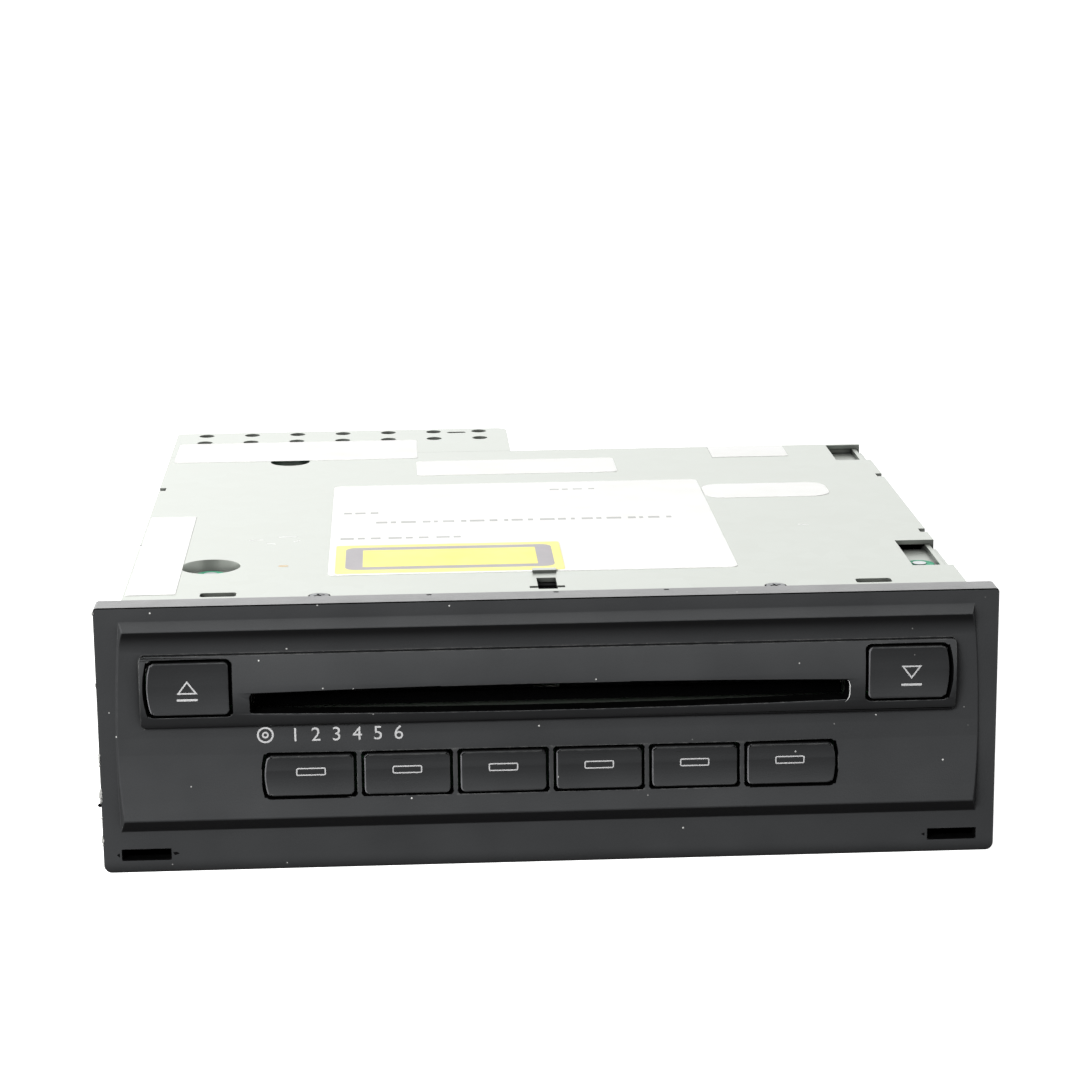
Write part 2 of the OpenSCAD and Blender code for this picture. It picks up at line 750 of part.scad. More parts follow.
// Steel leaf on the side: its catch holds the set in the dashboard, its tongue meets the tool
module release_spring(side) {
    leaf_x = half_w + 0.05;
    leaf_t = 0.5;
    tongue_z = tool_slot_z - 1;
    color("#9a9ea0")
        mirror([side < 0 ? 1 : 0, 0, 0])
            union() {
                block([leaf_x, rim_d + 4, rivet_z - 5], [leaf_x + leaf_t, rivet_y + 4, rivet_z + 5]);
                // pad that stands the leaf off the chassis, and the rivet through both
                block([wall_x + touch_gap, rivet_y - 4, rivet_z - 3.5],
                      [leaf_x + eps, rivet_y + 4, rivet_z + 3.5]);
                translate([wall_x - sheet, rivet_y, rivet_z]) rotate([0, 90, 0])
                    cylinder(r = rivet_r, h = 2 * sheet);
                translate([leaf_x + leaf_t - eps, rivet_y, rivet_z]) rotate([0, 90, 0])
                    cylinder(r1 = 2, r2 = 1.4, h = 0.5);
                // rolled bead across the leaf, where it flexes
                translate([leaf_x + leaf_t / 2, rivet_y - 6, rivet_z - 5]) cylinder(r = 0.6, h = 10);
                // catch: a wedge that stands out
                linear_extrude_between(rivet_z - 3.5, rivet_z + 3.5)
                    polygon([[leaf_x + leaf_t - eps, 24], [leaf_x + leaf_t + 1.8, 32],
                             [leaf_x + leaf_t - eps, 33]]);
                // tongue turned in under the chassis, in the tool's way
                block([leaf_x, rim_d + 4, tongue_z], [leaf_x + leaf_t, 20, rivet_z - 5 + eps]);
                block([leaf_x - 6, rim_d + 4, tongue_z],
                      [leaf_x + leaf_t, 20, tongue_z + leaf_t]);
            }
}

// Rubber spools between the shelves and the mechanism's pins
module rubber_dampers() {
    color("#1f8f6a")
        for (p = concat(left_dampers, right_dampers))
            translate([p[0], p[1], 0])
                difference() {
                    union() {
                        translate([0, 0, bridge_z + bridge_t])
                            cylinder(r = damper_r, h = shelf_z - bridge_z - bridge_t);
                        translate([0, 0, shelf_z - eps])
                            cylinder(r = damper_neck_r, h = sheet + 2 * eps);
                        translate([0, 0, shelf_z + sheet])
                            cylinder(r1 = damper_r, r2 = damper_r - 0.4, h = damper_head_h);
                    }
                    translate([0, 0, bridge_z]) cylinder(r = damper_pin_r + running_gap, h = 8);
                }
}

// ---- Electronics ----

module main_circuit_board() {
    color("#2f6b3c")
        difference() {
            union() {
                block([board_x0, mech_y0 + 2, board_z], [board_x1, chassis_d - 8, board_z + board_t]);
                block([board_x0 - 6, chassis_d - 10, board_z],
                      [ext_wall_x - 5.5, rear_y - 4, board_z + board_t]);
            }
            for (p = board_posts)
                translate([p[0], p[1], board_z - 1]) cylinder(r = 1.2, h = board_t + 2);
        }
}

module board_components() {
    top = board_z + board_t;
    color("#202022") {
        for (p = [[-30, 40, 22], [30, 60, 14], [50, 110, 12]])
            translate([p[0] - p[2] / 2, p[1] - p[2] / 2, top]) cube([p[2], p[2], 0.9]);
        for (k = [0 : 3])
            translate([board_x0 + k * 9, chassis_d + 9, top]) cylinder(r = 3.6, h = 11 + 3 * (k % 2));
        // finned heat sink under the ventilation holes
        translate([ext_wall_x - 25.5, chassis_d + 3, top]) {
            cube([20, 12, 2]);
            for (k = [0 : 4]) translate([k * 4.5, 0, 2 - eps]) cube([1.6, 12, 24]);
        }
    }
}

// Flat cable from the key board through the front wall to the main board
module ribbon_cable() {
    t = 0.3;
    top = board_z + board_t;
    color("#e8e4d8")
        union() {
            block([ribbon_x, board_y + board_t, top],
                  [ribbon_x + ribbon_w, board_y + board_t + t, top + 4.4]);
            block([ribbon_x, board_y + board_t, top], [ribbon_x + ribbon_w, mech_y0 + 6, top + t]);
        }
}

// Main plug socket of the extension, open to the rear
module rear_socket() {
    color("#26272b")
        difference() {
            union() {
                block([socket_x - 22, rear_y - 14, board_z + board_t],
                      [socket_x + 22, rear_y - 2 * sheet, socket_z1]);
                block([socket_x - 22, rear_y - 3 * sheet, socket_z0],
                      [socket_x + 22, rear_y - 0.6, socket_z1]);
            }
            for (x0 = [-20.4, -0.4])
                block([socket_x + x0, rear_y - 10, socket_z0 + 1.6],
                      [socket_x + x0 + (x0 < -1 ? 18.4 : 20.8), rear_y, socket_z1 - 1.6]);
        }
}

module socket_pins() {
    color("#c8a24a")
        for (k = [0 : 3], z = [5, 11], x0 = [-17.6, 3])
            translate([socket_x + x0 + k * 4.4, rear_y - 10, socket_z0 + z - 0.5]) cube([1, 7, 1]);
}

// ---- Mechanism frame ----

// Base plate on its posts, with the pivot post of the playback deck
module mechanism_frame() {
    posts = [[-mech_half + 2.6, 27], [mech_half - 2.6, mech_y0 + 5],
             [-56, mech_y1 - 3], [mech_half - 2.6, mech_y1 - 5]];
    color("#aeb2b4")
        difference() {
            union() {
                block([-mech_half, mech_y0, base_z], [mech_half, mech_y1, base_z + base_t]);
                for (p = posts)
                    translate([p[0], p[1], base_z]) cylinder(r = post_r, h = bridge_z - base_z);
                translate([pivot[0], pivot[1], base_z]) {
                    cylinder(r = 2, h = deck_z + 4 - base_z);
                    cylinder(r = 4, h = deck_z - running_gap - base_z);
                }
            }
            for (p = screws)
                translate([p[0], p[1], base_z - 1]) cylinder(r = 1.55, h = base_t + 2);
            // lightening window under the discs
            translate([0, disc_y, base_z - 1]) cylinder(r = 30, h = base_t + 2);
            translate([lift_motor_x, screw_y, base_z - 1]) cylinder(r = 1.05, h = base_t + 2);
        }
}

// Upper plate: it carries the screws' upper ends and the pins of the rubber dampers
module mechanism_bridge() {
    color("#aeb2b4")
        difference() {
            union() {
                block([-mech_half, roller_y + 4, bridge_z],
                      [mech_half, mech_y1, bridge_z + bridge_t]);
                for (p = concat(left_dampers, right_dampers))
                    translate([p[0], p[1], bridge_z])
                        cylinder(r = damper_pin_r, h = shelf_z + sheet + damper_head_h + 0.2 - bridge_z);
            }
            translate([0, disc_y, bridge_z - 1]) cylinder(r = 52, h = bridge_t + 2);
            for (p = screws)
                translate([p[0], p[1], bridge_z - 1]) cylinder(r = 1.55, h = bridge_t + 2);
        }
}

// ---- Disc feed ----

// Two cheeks that carry the roller; the left one has the idler's stub and the motor's face
module roller_bracket() {
    foot = base_z + base_t;
    top = disc_floor_z + 4.6;
    stub_l = -bracket_x - bracket_t - gear_x;
    color("#dedcd4")
        difference() {
            union() {
                for (side = [-1, 1])
                    translate([side * (bracket_x + bracket_t / 2), 0, 0])
                        block([-bracket_t / 2, roller_y - 6, foot],
                              [bracket_t / 2, roller_y + 6, top]);
                translate([-bracket_x - bracket_t - stub_l, roller_y, idler_z])
                    rotate([0, 90, 0]) cylinder(r = 1, h = stub_l + eps);
            }
            translate([0, roller_y, roller_z]) rotate([0, 90, 0])
                cylinder(r = shaft_r + running_gap, h = 2 * bracket_x + 10, center = true);
            // room for the lift's drive gear
            translate([screw_x, screw_y, foot])
                cylinder(r = gear_module * (lift_teeth / 2 + 2), h = drive_gear_z + gear_t + 1 - foot);
        }
}

// Guide over the roller: a plate with a rounded front lip and shallow ribs along the way in
module upper_disc_guide() {
    z0 = disc_floor_z + 1.6;
    color("#e6e4dc")
        union() {
            block([-bracket_x, roller_y - 5, z0 + 0.6], [bracket_x, roller_y + 5, z0 + 2]);
            translate([0, roller_y - 5, z0 + 1.3])
                rotate([0, 90, 0]) cylinder(r = 0.7, h = 2 * bracket_x, center = true);
            for (x = [-52, -44, 44, 52])
                block([x - 0.6, roller_y - 4, z0], [x + 0.6, roller_y + 4, z0 + 1]);
        }
}

module feed_roller_shaft() {
    x0 = gear_x - 0.6;
    color("#a8acae")
        translate([x0, roller_y, roller_z]) rotate([0, 90, 0])
            cylinder(r = shaft_r, h = bracket_x + bracket_t + 1 - x0);
    color("#f0eee6")
        gear_along_x(roller_teeth, gear_x, roller_y, roller_z, shaft_r - 0.2, 0);
}

// Rubber sleeves, waisted so that only a disc's edges touch them
module feed_roller_rubber() {
    half = disc_r + 1;
    color("#1b1b1c")
        for (side = [0, 180])
            translate([0, roller_y, roller_z]) rotate([0, 90, side])
                rotate([side == 0 ? 0 : 0, 0, 0])
                    difference() {
                        translate([0, 0, 3])
                            cylinder(r1 = roller_r - 0.7, r2 = roller_r, h = half - 3);
                        translate([0, 0, 2]) cylinder(r = shaft_r, h = half);
                    }
}

module feed_idler_gear() {
    color("#f0eee6")
        gear_along_x(idler_teeth, gear_x, roller_y, idler_z, 1 + running_gap,
                     90 + 180 / idler_teeth);
}

module feed_motor_pinion() {
    color("#c8a24a")
        union() {
            gear_along_x(pinion_teeth, gear_x, roller_y, pinion_z, 0.6, 180 / pinion_teeth);
            translate([gear_x - 3, roller_y, pinion_z]) rotate([0, 90, 0])
                cylinder(r = 0.75, h = gear_w + 3);
        }
}

module feed_motor() {
    length = 13;
    color("#b8bcbe")
        difference() {
            translate([gear_x - 0.6 - length, roller_y, pinion_z]) rotate([0, 90, 0])
                cylinder(r = feed_motor_r, h = length);
            translate([gear_x - 4, roller_y, pinion_z]) rotate([0, 90, 0])
                cylinder(r = 0.75 + running_gap, h = 5);
        }
}

// ---- Disc lift ----

// Lifting screw: journals in both plates, belt pulley at the foot and a thread relief
module lift_screw(k) {
    p = screws[k];
    turns = 11;
    color("#efede4")
        translate([p[0], p[1], 0])
            union() {
                translate([0, 0, base_z + 0.1])
                    cylinder(r = 1.5, h = screw_top_z - base_z - 0.1);
                translate([0, 0, pulley_z]) cylinder(r = pulley_r, h = pulley_h);
                translate([0, 0, pulley_z + pulley_h - eps])
                    cylinder(r = screw_r - 0.6, h = bridge_z - 0.3 - pulley_z - pulley_h);
                // thread, drawn as rings at its pitch
                for (i = [0 : turns])
                    translate([0, 0, pulley_z + pulley_h + 2.2 + i * 3])
                        cylinder(r = screw_r, h = 1.4);
                if (k == 1)
                    translate([0, 0, drive_gear_z]) gear(lift_teeth, gear_t, 1.4);
            }
}

// Toothed belt round the three pulleys
module lift_belt() {
    module loop(r) {
        polygon([for (p = screws) p]);
        for (i = [0 : 2]) {
            a = screws[i];
            b = screws[(i + 1) % 3];
            d = (b - a) / norm(b - a);
            n = [d[1], -d[0]] * r;
            polygon([a + n, b + n, b - n, a - n]);
            translate(a) circle(r);
        }
    }
    color("#2a2a2c")
        translate([0, 0, pulley_z + 0.1])
            linear_extrude(pulley_h - 0.2)
                difference() {
                    loop(pulley_r + running_gap + belt_t);
                    loop(pulley_r + running_gap);
                }
}

module lift_motor() {
    z0 = drive_gear_z + gear_t + 0.6;
    color("#b8bcbe")
        difference() {
            union() {
                translate([lift_motor_x, screw_y, z0]) cylinder(r = 5.6, h = 20);
                block([lift_motor_x + 4, screw_y - 3, base_z + base_t],
                      [lift_motor_x + 5.4, screw_y + 3, z0 + 4]);
            }
            translate([lift_motor_x, screw_y, z0 - 1]) cylinder(r = 0.8, h = 6);
        }
}

module lift_motor_pinion() {
    color("#c8a24a")
        translate([lift_motor_x, screw_y, 0])
            union() {
                translate([0, 0, drive_gear_z])
                    gear(pinion_teeth, gear_t, 0.6, 180 / pinion_teeth);
                translate([0, 0, base_z + 0.1])
                    cylinder(r = 0.75, h = drive_gear_z + gear_t + 4 - base_z);
            }
}

// One tray: a C-shaped plate with a rim at the back and an ear on each screw
module disc_tray(k) {
    color("#3c3f42")
        translate([0, 0, tray_z + (k - 1) * tray_pitch])
            difference() {
                union() {
                    linear_extrude(tray_t) tray_plan();
                    linear_extrude(tray_t + tray_rim)
                        difference() {
                            translate([0, disc_y]) circle(tray_outer_r);
                            translate([0, disc_y]) circle(disc_r + 1);
                            translate([-face_w / 2, 0]) square([face_w, disc_y + 12]);
                        }
                }
                for (p = screws)
                    translate([p[0], p[1], -1]) cylinder(r = screw_r + screw_gap, h = tray_t + 4);
            }
}

module tray_plan() {
    front_y = roller_y + 7;
    difference() {
        union() {
            translate([0, disc_y]) circle(tray_outer_r);
            for (p = screws) translate(p) circle(ear_r);
            for (side = [-1, 1])
                polygon([[side * (screw_x + ear_r), screw_y], [side * 30, screw_y - 1],
                         [side * 55, disc_y - 8], [side * (tray_outer_r - 2), disc_y - 8]]);
            translate([-ear_r, disc_y + 40]) square([2 * ear_r, rear_screw_y - disc_y - 40]);
        }
        translate([0, disc_y]) circle(tray_inner_r);
        translate([-face_w, front_y - 200]) square([2 * face_w, 200]);
        // mouth of the C, on the side that the deck comes from
        translate([0, disc_y])
            polygon([[0, 0], 80 * [cos(122), sin(122)], 80 * [cos(146), sin(146)],
                     80 * [cos(170), sin(170)]]);
    }
}

// ---- Playback deck ----

// Places a piece drawn along the deck's own X at its parked position
module on_deck() {
    translate([pivot[0], pivot[1], 0]) rotate(-90) children();
}

module swing_deck() {
    color("#8d9294")
        on_deck()
            difference() {
                union() {
                    linear_extrude_between(deck_z, deck_z + deck_t)
                        difference() {
                            union() {
                                circle(deck_half);
                                translate([0, -deck_half])
                                    square([deck_len, 2 * deck_half]);
                                translate([deck_len, 0]) circle(turntable_r + 0.8);
                            }
                            // window that the pickup travels in
                            translate([24, -7]) square([pickup_x + pickup_l - 24, 14]);
                        }
                    translate([0, 0, deck_z]) cylinder(r = 4, h = 3.6);
                    // lugs of the clamp arm's hinge, and the rods' end blocks
                    for (sy = [-1, 1])
                        translate([arm_hinge_x, sy * 10.6, deck_z + deck_t - eps])
                            translate([-2, -1.2, 0]) cube([4, 2.4, clamp_z - deck_z + 1.2]);
                    for (x = [18, deck_len - turntable_r + 0.4], sy = [-1, 1])
                        translate([x, sy * rod_y - 1.4, deck_z + deck_t - eps])
                            cube([1.6, 2.8, rod_z - deck_z - deck_t + 1.6]);
                }
                translate([0, 0, deck_z - 1]) cylinder(r = 2 + running_gap, h = 6);
                translate([arm_hinge_x, 0, clamp_z + 0.3]) rotate([90, 0, 0])
                    cylinder(r = 0.85, h = 40, center = true);
                for (sy = [-1, 1])
                    translate([15, sy * rod_y, rod_z]) rotate([0, 90, 0])
                        cylinder(r = rod_r + (sy < 0 ? running_gap : 0), h = deck_len);
            }
}

module spindle_motor() {
    color("#b8bcbe")
        on_deck()
            difference() {
                translate([deck_len, 0, deck_z + deck_t]) cylinder(r = 9, h = 2);
                translate([deck_len, 0, deck_z]) cylinder(r = 0.8 + running_gap, h = 6);
            }
}

// Turntable: seat, centring cone and shaft
module turntable() {
    color("#2c2c2e")
        on_deck()
            translate([deck_len, 0, 0])
                union() {
                    translate([0, 0, disc_seat_z - 1.1]) cylinder(r = turntable_r, h = 1.1);
                    translate([0, 0, disc_seat_z - eps]) cylinder(r1 = 7.4, r2 = 6.2, h = 1);
                    translate([0, 0, deck_z + deck_t]) cylinder(r = 0.8, h = 3);
                }
}

module pickup_rods() {
    color("#a8acae")
        on_deck()
            translate([18, rod_y, rod_z]) rotate([0, 90, 0])
                cylinder(r = rod_r, h = deck_len - turntable_r - 16);
}

module sled_screw() {
    color("#a8acae")
        on_deck()
            translate([14, -rod_y, rod_z]) rotate([0, 90, 0])
                cylinder(r = rod_r, h = deck_len - turntable_r - 12);
}

module sled_motor() {
    color("#b8bcbe")
        on_deck()
            difference() {
                translate([4, -rod_y, rod_z]) rotate([0, 90, 0])
                    cylinder(r = rod_z - deck_z - deck_t, h = 5.5);
                translate([5, -rod_y, rod_z]) rotate([0, 90, 0]) cylinder(r = 0.7, h = 8);
            }
}

// Pickup block on its rod and screw, with a window under the lens
module optical_pickup() {
    color("#55595c")
        on_deck()
            difference() {
                translate([pickup_x, 0, 0])
                    union() {
                        block([0, -6.4, deck_z + 0.2], [pickup_l, 6.4, disc_seat_z - 0.7]);
                        block([1, -rod_y - 1.7, deck_z + deck_t + 0.4],
                              [pickup_l - 1, rod_y + 1.7, rod_z + 1.3]);
                    }
                for (sy = [-1, 1])
                    translate([pickup_x - 1, sy * rod_y, rod_z]) rotate([0, 90, 0])
                        cylinder(r = rod_r + running_gap, h = pickup_l + 2);
                translate([pickup_x + pickup_l - 6, 0, disc_seat_z - 1.4]) cylinder(r = 2.6, h = 3);
            }
}

module pickup_lens() {
    color("#7fa8c8")
        on_deck()
            translate([pickup_x + pickup_l - 6, 0, disc_seat_z - 1.4])
                cylinder(r1 = 2.4, r2 = 1.8, h = 0.9);
}

// Arm over the disc, hinged near the pivot
module clamp_arm() {
    color("#8d9294")
        on_deck()
            difference() {
                union() {
                    linear_extrude_between(clamp_z + 1, clamp_z + 1 + arm_t)
                        union() {
                            translate([arm_hinge_x + 3, -7]) square([deck_len - arm_hinge_x - 3, 14]);
                            translate([deck_len, 0]) circle(8);
                        }
                    block([arm_hinge_x - 1.6, -9.2, clamp_z - 0.5],
                          [arm_hinge_x + 1.6, 9.2, clamp_z + 1.1]);
                    block([arm_hinge_x, -7, clamp_z + 1], [arm_hinge_x + 4, 7, clamp_z + 1 + arm_t]);
                    translate([arm_hinge_x, 0, clamp_z + 0.3]) rotate([90, 0, 0])
                        cylinder(r = 0.8, h = 23.6, center = true);
                }
                translate([deck_len, 0, clamp_z]) cylinder(r = 3.3, h = 5);
            }
}

// Clamping disc, held loosely in the arm's hole by its neck and top flange
module disc_clamper() {
    color("#e6e4dc")
        on_deck()
            translate([deck_len, 0, 0])
                union() {
                    translate([0, 0, clamp_z]) cylinder(r = 12, h = 0.9);
                    translate([0, 0, clamp_z + 0.8]) cylinder(r = 3.1, h = arm_t + 0.5);
                    translate([0, 0, clamp_z + 1.1 + arm_t]) cylinder(r = 4.4, h = 0.5);
                }
}

module at_face() {
    translate([0, face_y, 0]) children();
}

at_face() front_bezel();
at_face() big_button(-1);  // eject_button
at_face() big_button(1);  // load_button
at_face() disc_button(1);  // disc_button_1
at_face() disc_button(2);  // disc_button_2
at_face() disc_button(3);  // disc_button_3
at_face() disc_button(4);  // disc_button_4
at_face() disc_button(5);  // disc_button_5
at_face() disc_button(6);  // disc_button_6
at_face() front_circuit_board();
at_face() key_switches();
at_face() slot_felts();
at_face() chassis_base();
at_face() chassis_sides();
at_face() top_cover();
at_face() rear_panel();
at_face() rear_housing();
at_face() rear_vent_cover();
at_face() bezel_screws();
at_face() cover_screws();
at_face() release_spring(-1);  // release_spring_left
at_face() release_spring(1);  // release_spring_right
at_face() rubber_dampers();
at_face() main_circuit_board();
at_face() board_components();
at_face() ribbon_cable();
at_face() rear_socket();
at_face() socket_pins();
at_face() mechanism_frame();
at_face() mechanism_bridge();
at_face() roller_bracket();
at_face() upper_disc_guide();
at_face() feed_roller_shaft();
at_face() feed_roller_rubber();
at_face() feed_idler_gear();
at_face() feed_motor_pinion();
at_face() feed_motor();
at_face() lift_screw(0);  // lift_screw_left
at_face() lift_screw(1);  // lift_screw_right
at_face() lift_screw(2);  // lift_screw_rear
at_face() lift_belt();
at_face() lift_motor();
at_face() lift_motor_pinion();
at_face() disc_tray(1);  // disc_tray_1
at_face() disc_tray(2);  // disc_tray_2
at_face() disc_tray(3);  // disc_tray_3
at_face() disc_tray(4);  // disc_tray_4
at_face() disc_tray(5);  // disc_tray_5
at_face() disc_tray(6);  // disc_tray_6
at_face() swing_deck();
at_face() spindle_motor();
at_face() turntable();
at_face() pickup_rods();
at_face() sled_screw();
at_face() sled_motor();
at_face() optical_pickup();
at_face() pickup_lens();
at_face() clamp_arm();
at_face() disc_clamper();
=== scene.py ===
# %% [markdown]
# A CD changer for a car dashboard: a moulded black face with a disc slot and eight
# keys, on a flat housing of galvanised sheet. The exact solids arrive from the CAD
# frame. This lesson gives them their finishes and adds the thin things that a solid
# model leaves out: printed symbols, paper labels, rounded edges, dust and wear.

# %% Load the frame
import json
import math
import random

import bmesh
import bpy
from mathutils import Matrix, Vector
from mathutils.bvhtree import BVHTree

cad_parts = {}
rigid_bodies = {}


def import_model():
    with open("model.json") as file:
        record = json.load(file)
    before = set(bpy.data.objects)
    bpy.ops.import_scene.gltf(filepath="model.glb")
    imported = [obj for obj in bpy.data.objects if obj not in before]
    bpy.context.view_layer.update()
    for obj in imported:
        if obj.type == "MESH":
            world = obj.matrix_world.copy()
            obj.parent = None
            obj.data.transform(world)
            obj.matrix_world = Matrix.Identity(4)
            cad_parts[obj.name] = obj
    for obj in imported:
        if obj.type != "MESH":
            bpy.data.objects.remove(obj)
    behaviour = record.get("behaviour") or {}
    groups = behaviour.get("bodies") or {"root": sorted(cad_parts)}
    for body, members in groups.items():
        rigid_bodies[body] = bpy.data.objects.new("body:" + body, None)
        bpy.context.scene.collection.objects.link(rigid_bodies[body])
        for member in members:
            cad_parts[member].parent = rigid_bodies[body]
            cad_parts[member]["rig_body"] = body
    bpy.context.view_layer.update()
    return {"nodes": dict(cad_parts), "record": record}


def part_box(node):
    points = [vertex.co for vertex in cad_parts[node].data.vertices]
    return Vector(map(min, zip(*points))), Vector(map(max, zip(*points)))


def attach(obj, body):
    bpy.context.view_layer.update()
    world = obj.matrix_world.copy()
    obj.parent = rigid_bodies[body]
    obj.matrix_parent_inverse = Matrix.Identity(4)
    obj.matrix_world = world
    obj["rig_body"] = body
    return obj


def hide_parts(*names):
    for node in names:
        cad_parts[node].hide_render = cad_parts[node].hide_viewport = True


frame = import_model()
cad = frame["nodes"]

# %% [markdown]
# The maker's drawing measures from the face: X runs to the right, Y goes back from
# the border of the face, and Z goes up from its foot, all in millimetres. One
# function turns such a point into the frame's metres, so every size below can be
# read as it would stand on the drawing.

# %% Sizes that the frame gives
MM = 0.001
BAND_PROUD = 2.2                      # crown of the slot band in front of the border
face_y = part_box("front_bezel")[0].y + BAND_PROUD * MM


def at(x, y, z):
    """A point of the drawing, in metres in the frame."""
    return Vector((x * MM, face_y + y * MM, z * MM))


def edges_of(node):
    """Lowest and highest corner of a CAD node, in the drawing's millimetres."""
    low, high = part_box(node)
    shift = Vector((0, face_y, 0))
    return (low - shift) / MM, (high - shift) / MM


face_low, face_high = edges_of("front_bezel")
lid_low, lid_high = edges_of("top_cover")
print("face", round(face_high.x - face_low.x, 1), "x", round(face_high.z, 1),
      "mm; lid from", round(lid_low.y, 1), "to", round(lid_high.y, 1), "mm behind it")

# %% [markdown]
# The camera stands low in front of the face and a little to its left, with a long
# lens. The film gate is square and 36 mm wide. Its direction is given by where it
# looks and by the line that runs to its right, and the third axis follows.

# %% Camera
LENS_MM = 98.13
GATE_MM = 36.0
eye = at(-30.7, -588.5, 210.4)
ahead = Vector((0.0477, 0.9715, -0.2320)).normalized()
right = Vector((0.9986, -0.0514, -0.0099))
right = (right - ahead * right.dot(ahead)).normalized()
up = right.cross(ahead)

camera_data = bpy.data.cameras.new("camera")
camera_data.lens = LENS_MM
camera_data.sensor_fit = "HORIZONTAL"
camera_data.sensor_width = GATE_MM
camera = bpy.data.objects.new("camera", camera_data)
turn = Matrix((right, up, -ahead)).transposed()
camera.matrix_world = Matrix.Translation(eye) @ turn.to_4x4()
bpy.context.scene.collection.objects.link(camera)
bpy.context.scene.camera = camera
print("camera at", tuple(round(v, 4) for v in eye))

# %% [markdown]
# Materials are built from a few helpers. Colours are written as they are seen, in
# sRGB hex, and one function turns them into the linear values that light needs.
# One more function adds a node, sets it up and links it, so each recipe below is
# a short list of nodes.

# %% Material helpers
def linear(hex_colour):
    """sRGB hex to linear RGBA."""
    parts = [int(hex_colour[i:i + 2], 16) / 255 for i in (1, 3, 5)]
    flat = [p / 12.92 if p <= 0.04045 else ((p + 0.055) / 1.055) ** 2.4 for p in parts]
    return (*flat, 1.0)


def add(tree, kind, inputs=None, **settings):
    """Adds a node; an input takes a number, a colour or another node's socket."""
    node = tree.nodes.new(kind)
    for name, value in settings.items():
        setattr(node, name, value)
    for name, value in (inputs or {}).items():
        socket = node.inputs[name]
        if isinstance(value, bpy.types.NodeSocket):
            tree.links.new(value, socket)
        else:
            socket.default_value = value
    return node


def new_material(name):
    """An empty material: its tree, its shader and the place on the object in metres."""
    material = bpy.data.materials.new(name)
    material.use_nodes = True
    tree = material.node_tree
    tree.nodes.clear()
    shader = add(tree, "ShaderNodeBsdfPrincipled")
    output = add(tree, "ShaderNodeOutputMaterial", {"Surface": shader.outputs["BSDF"]})
    output.target = "ALL"
    place = add(tree, "ShaderNodeTexCoord").outputs["Object"]
    return material, tree, shader, place


def noise(tree, place, size_mm, detail=3.0, roughness=0.55):
    """Noise whose blotches are about size_mm across, from 0 to 1."""
    return add(tree, "ShaderNodeTexNoise", {
        "Vector": place, "Scale": 1 / (size_mm * MM), "Detail": detail,
        "Roughness": roughness}).outputs["Fac"]


def spread(tree, value, low, high, out_low=0.0, out_high=1.0):
    """Stretches low..high of a value to out_low..out_high, and stops there."""
    return add(tree, "ShaderNodeMapRange", {
        "Value": value, "From Min": low, "From Max": high,
        "To Min": out_low, "To Max": out_high}).outputs["Result"]


def maths(tree, operation, a, b):
    """One sum of two numbers or sockets."""
    node = tree.nodes.new("ShaderNodeMath")
    node.operation = operation
    for k, value in enumerate((a, b)):
        if isinstance(value, bpy.types.NodeSocket):
            tree.links.new(value, node.inputs[k])
        else:
            node.inputs[k].default_value = value
    return node.outputs[0]


def blend_colours(tree, factor, one, two):
    """Colour one where the factor is 0, colour two where it is 1."""
    node = tree.nodes.new("ShaderNodeMix")
    node.data_type = "RGBA"
    for socket, value in ((node.inputs[0], factor), (node.inputs[6], one),
                          (node.inputs[7], two)):
        if isinstance(value, bpy.types.NodeSocket):
            tree.links.new(value, socket)
        else:
            socket.default_value = linear(value) if isinstance(value, str) else value
    return node.outputs[2]


def rounded_normal(tree, radius_mm):
    """Normal of an edge that is broken to a small radius, as a mould or press leaves it."""
    return add(tree, "ShaderNodeBevel", {"Radius": radius_mm * MM}, samples=4).outputs["Normal"]


def relief(tree, shader, height, depth_mm, strength=1.0, radius_mm=0.0):
    """Bumps of depth_mm on the shader, over rounded edges where a radius is given."""
    inputs = {"Height": height, "Distance": depth_mm * MM, "Strength": strength}
    if radius_mm:
        inputs["Normal"] = rounded_normal(tree, radius_mm)
    bump = add(tree, "ShaderNodeBump", inputs)
    tree.links.new(bump.outputs["Normal"], shader.inputs["Normal"])


def tone(tree, shader, factor, one, two):
    """Base colour between two hex colours."""
    tree.links.new(blend_colours(tree, factor, one, two), shader.inputs["Base Color"])


def gloss(tree, shader, factor, low, high):
    """Roughness from low to high as the factor goes from 0 to 1."""
    tree.links.new(spread(tree, factor, 0, 1, low, high), shader.inputs["Roughness"])


print("helpers ready")

# %% [markdown]
# The face is ABS, moulded in black against a finely eroded mould. That grain
# scatters light, so the plastic looks dark grey and never mirrors. The bumps are
# about a third of a millimetre across. Edges that hands and tools meet are rubbed
# pale, and a few specks of dust lie on it. A rounded normal against the true one
# tells where an edge is, and noise breaks that line up.

# %% Moulded face
def grain(tree, place, size_mm):
    """Leathery grain: small cells with soft valleys between them."""
    cells = add(tree, "ShaderNodeTexVoronoi", {
        "Vector": place, "Scale": 1 / (size_mm * MM), "Smoothness": 0.6},
        feature="SMOOTH_F1").outputs["Distance"]
    return maths(tree, "ADD", cells, noise(tree, place, size_mm * 2.2))


def edge_mask(tree, radius_mm):
    """1 on sharp edges, 0 on flat ground."""
    true_normal = add(tree, "ShaderNodeNewGeometry").outputs["Normal"]
    soft = rounded_normal(tree, radius_mm)
    dot = add(tree, "ShaderNodeVectorMath", {0: soft, 1: true_normal}, operation="DOT_PRODUCT")
    return spread(tree, dot.outputs["Value"], 0.97, 0.7)


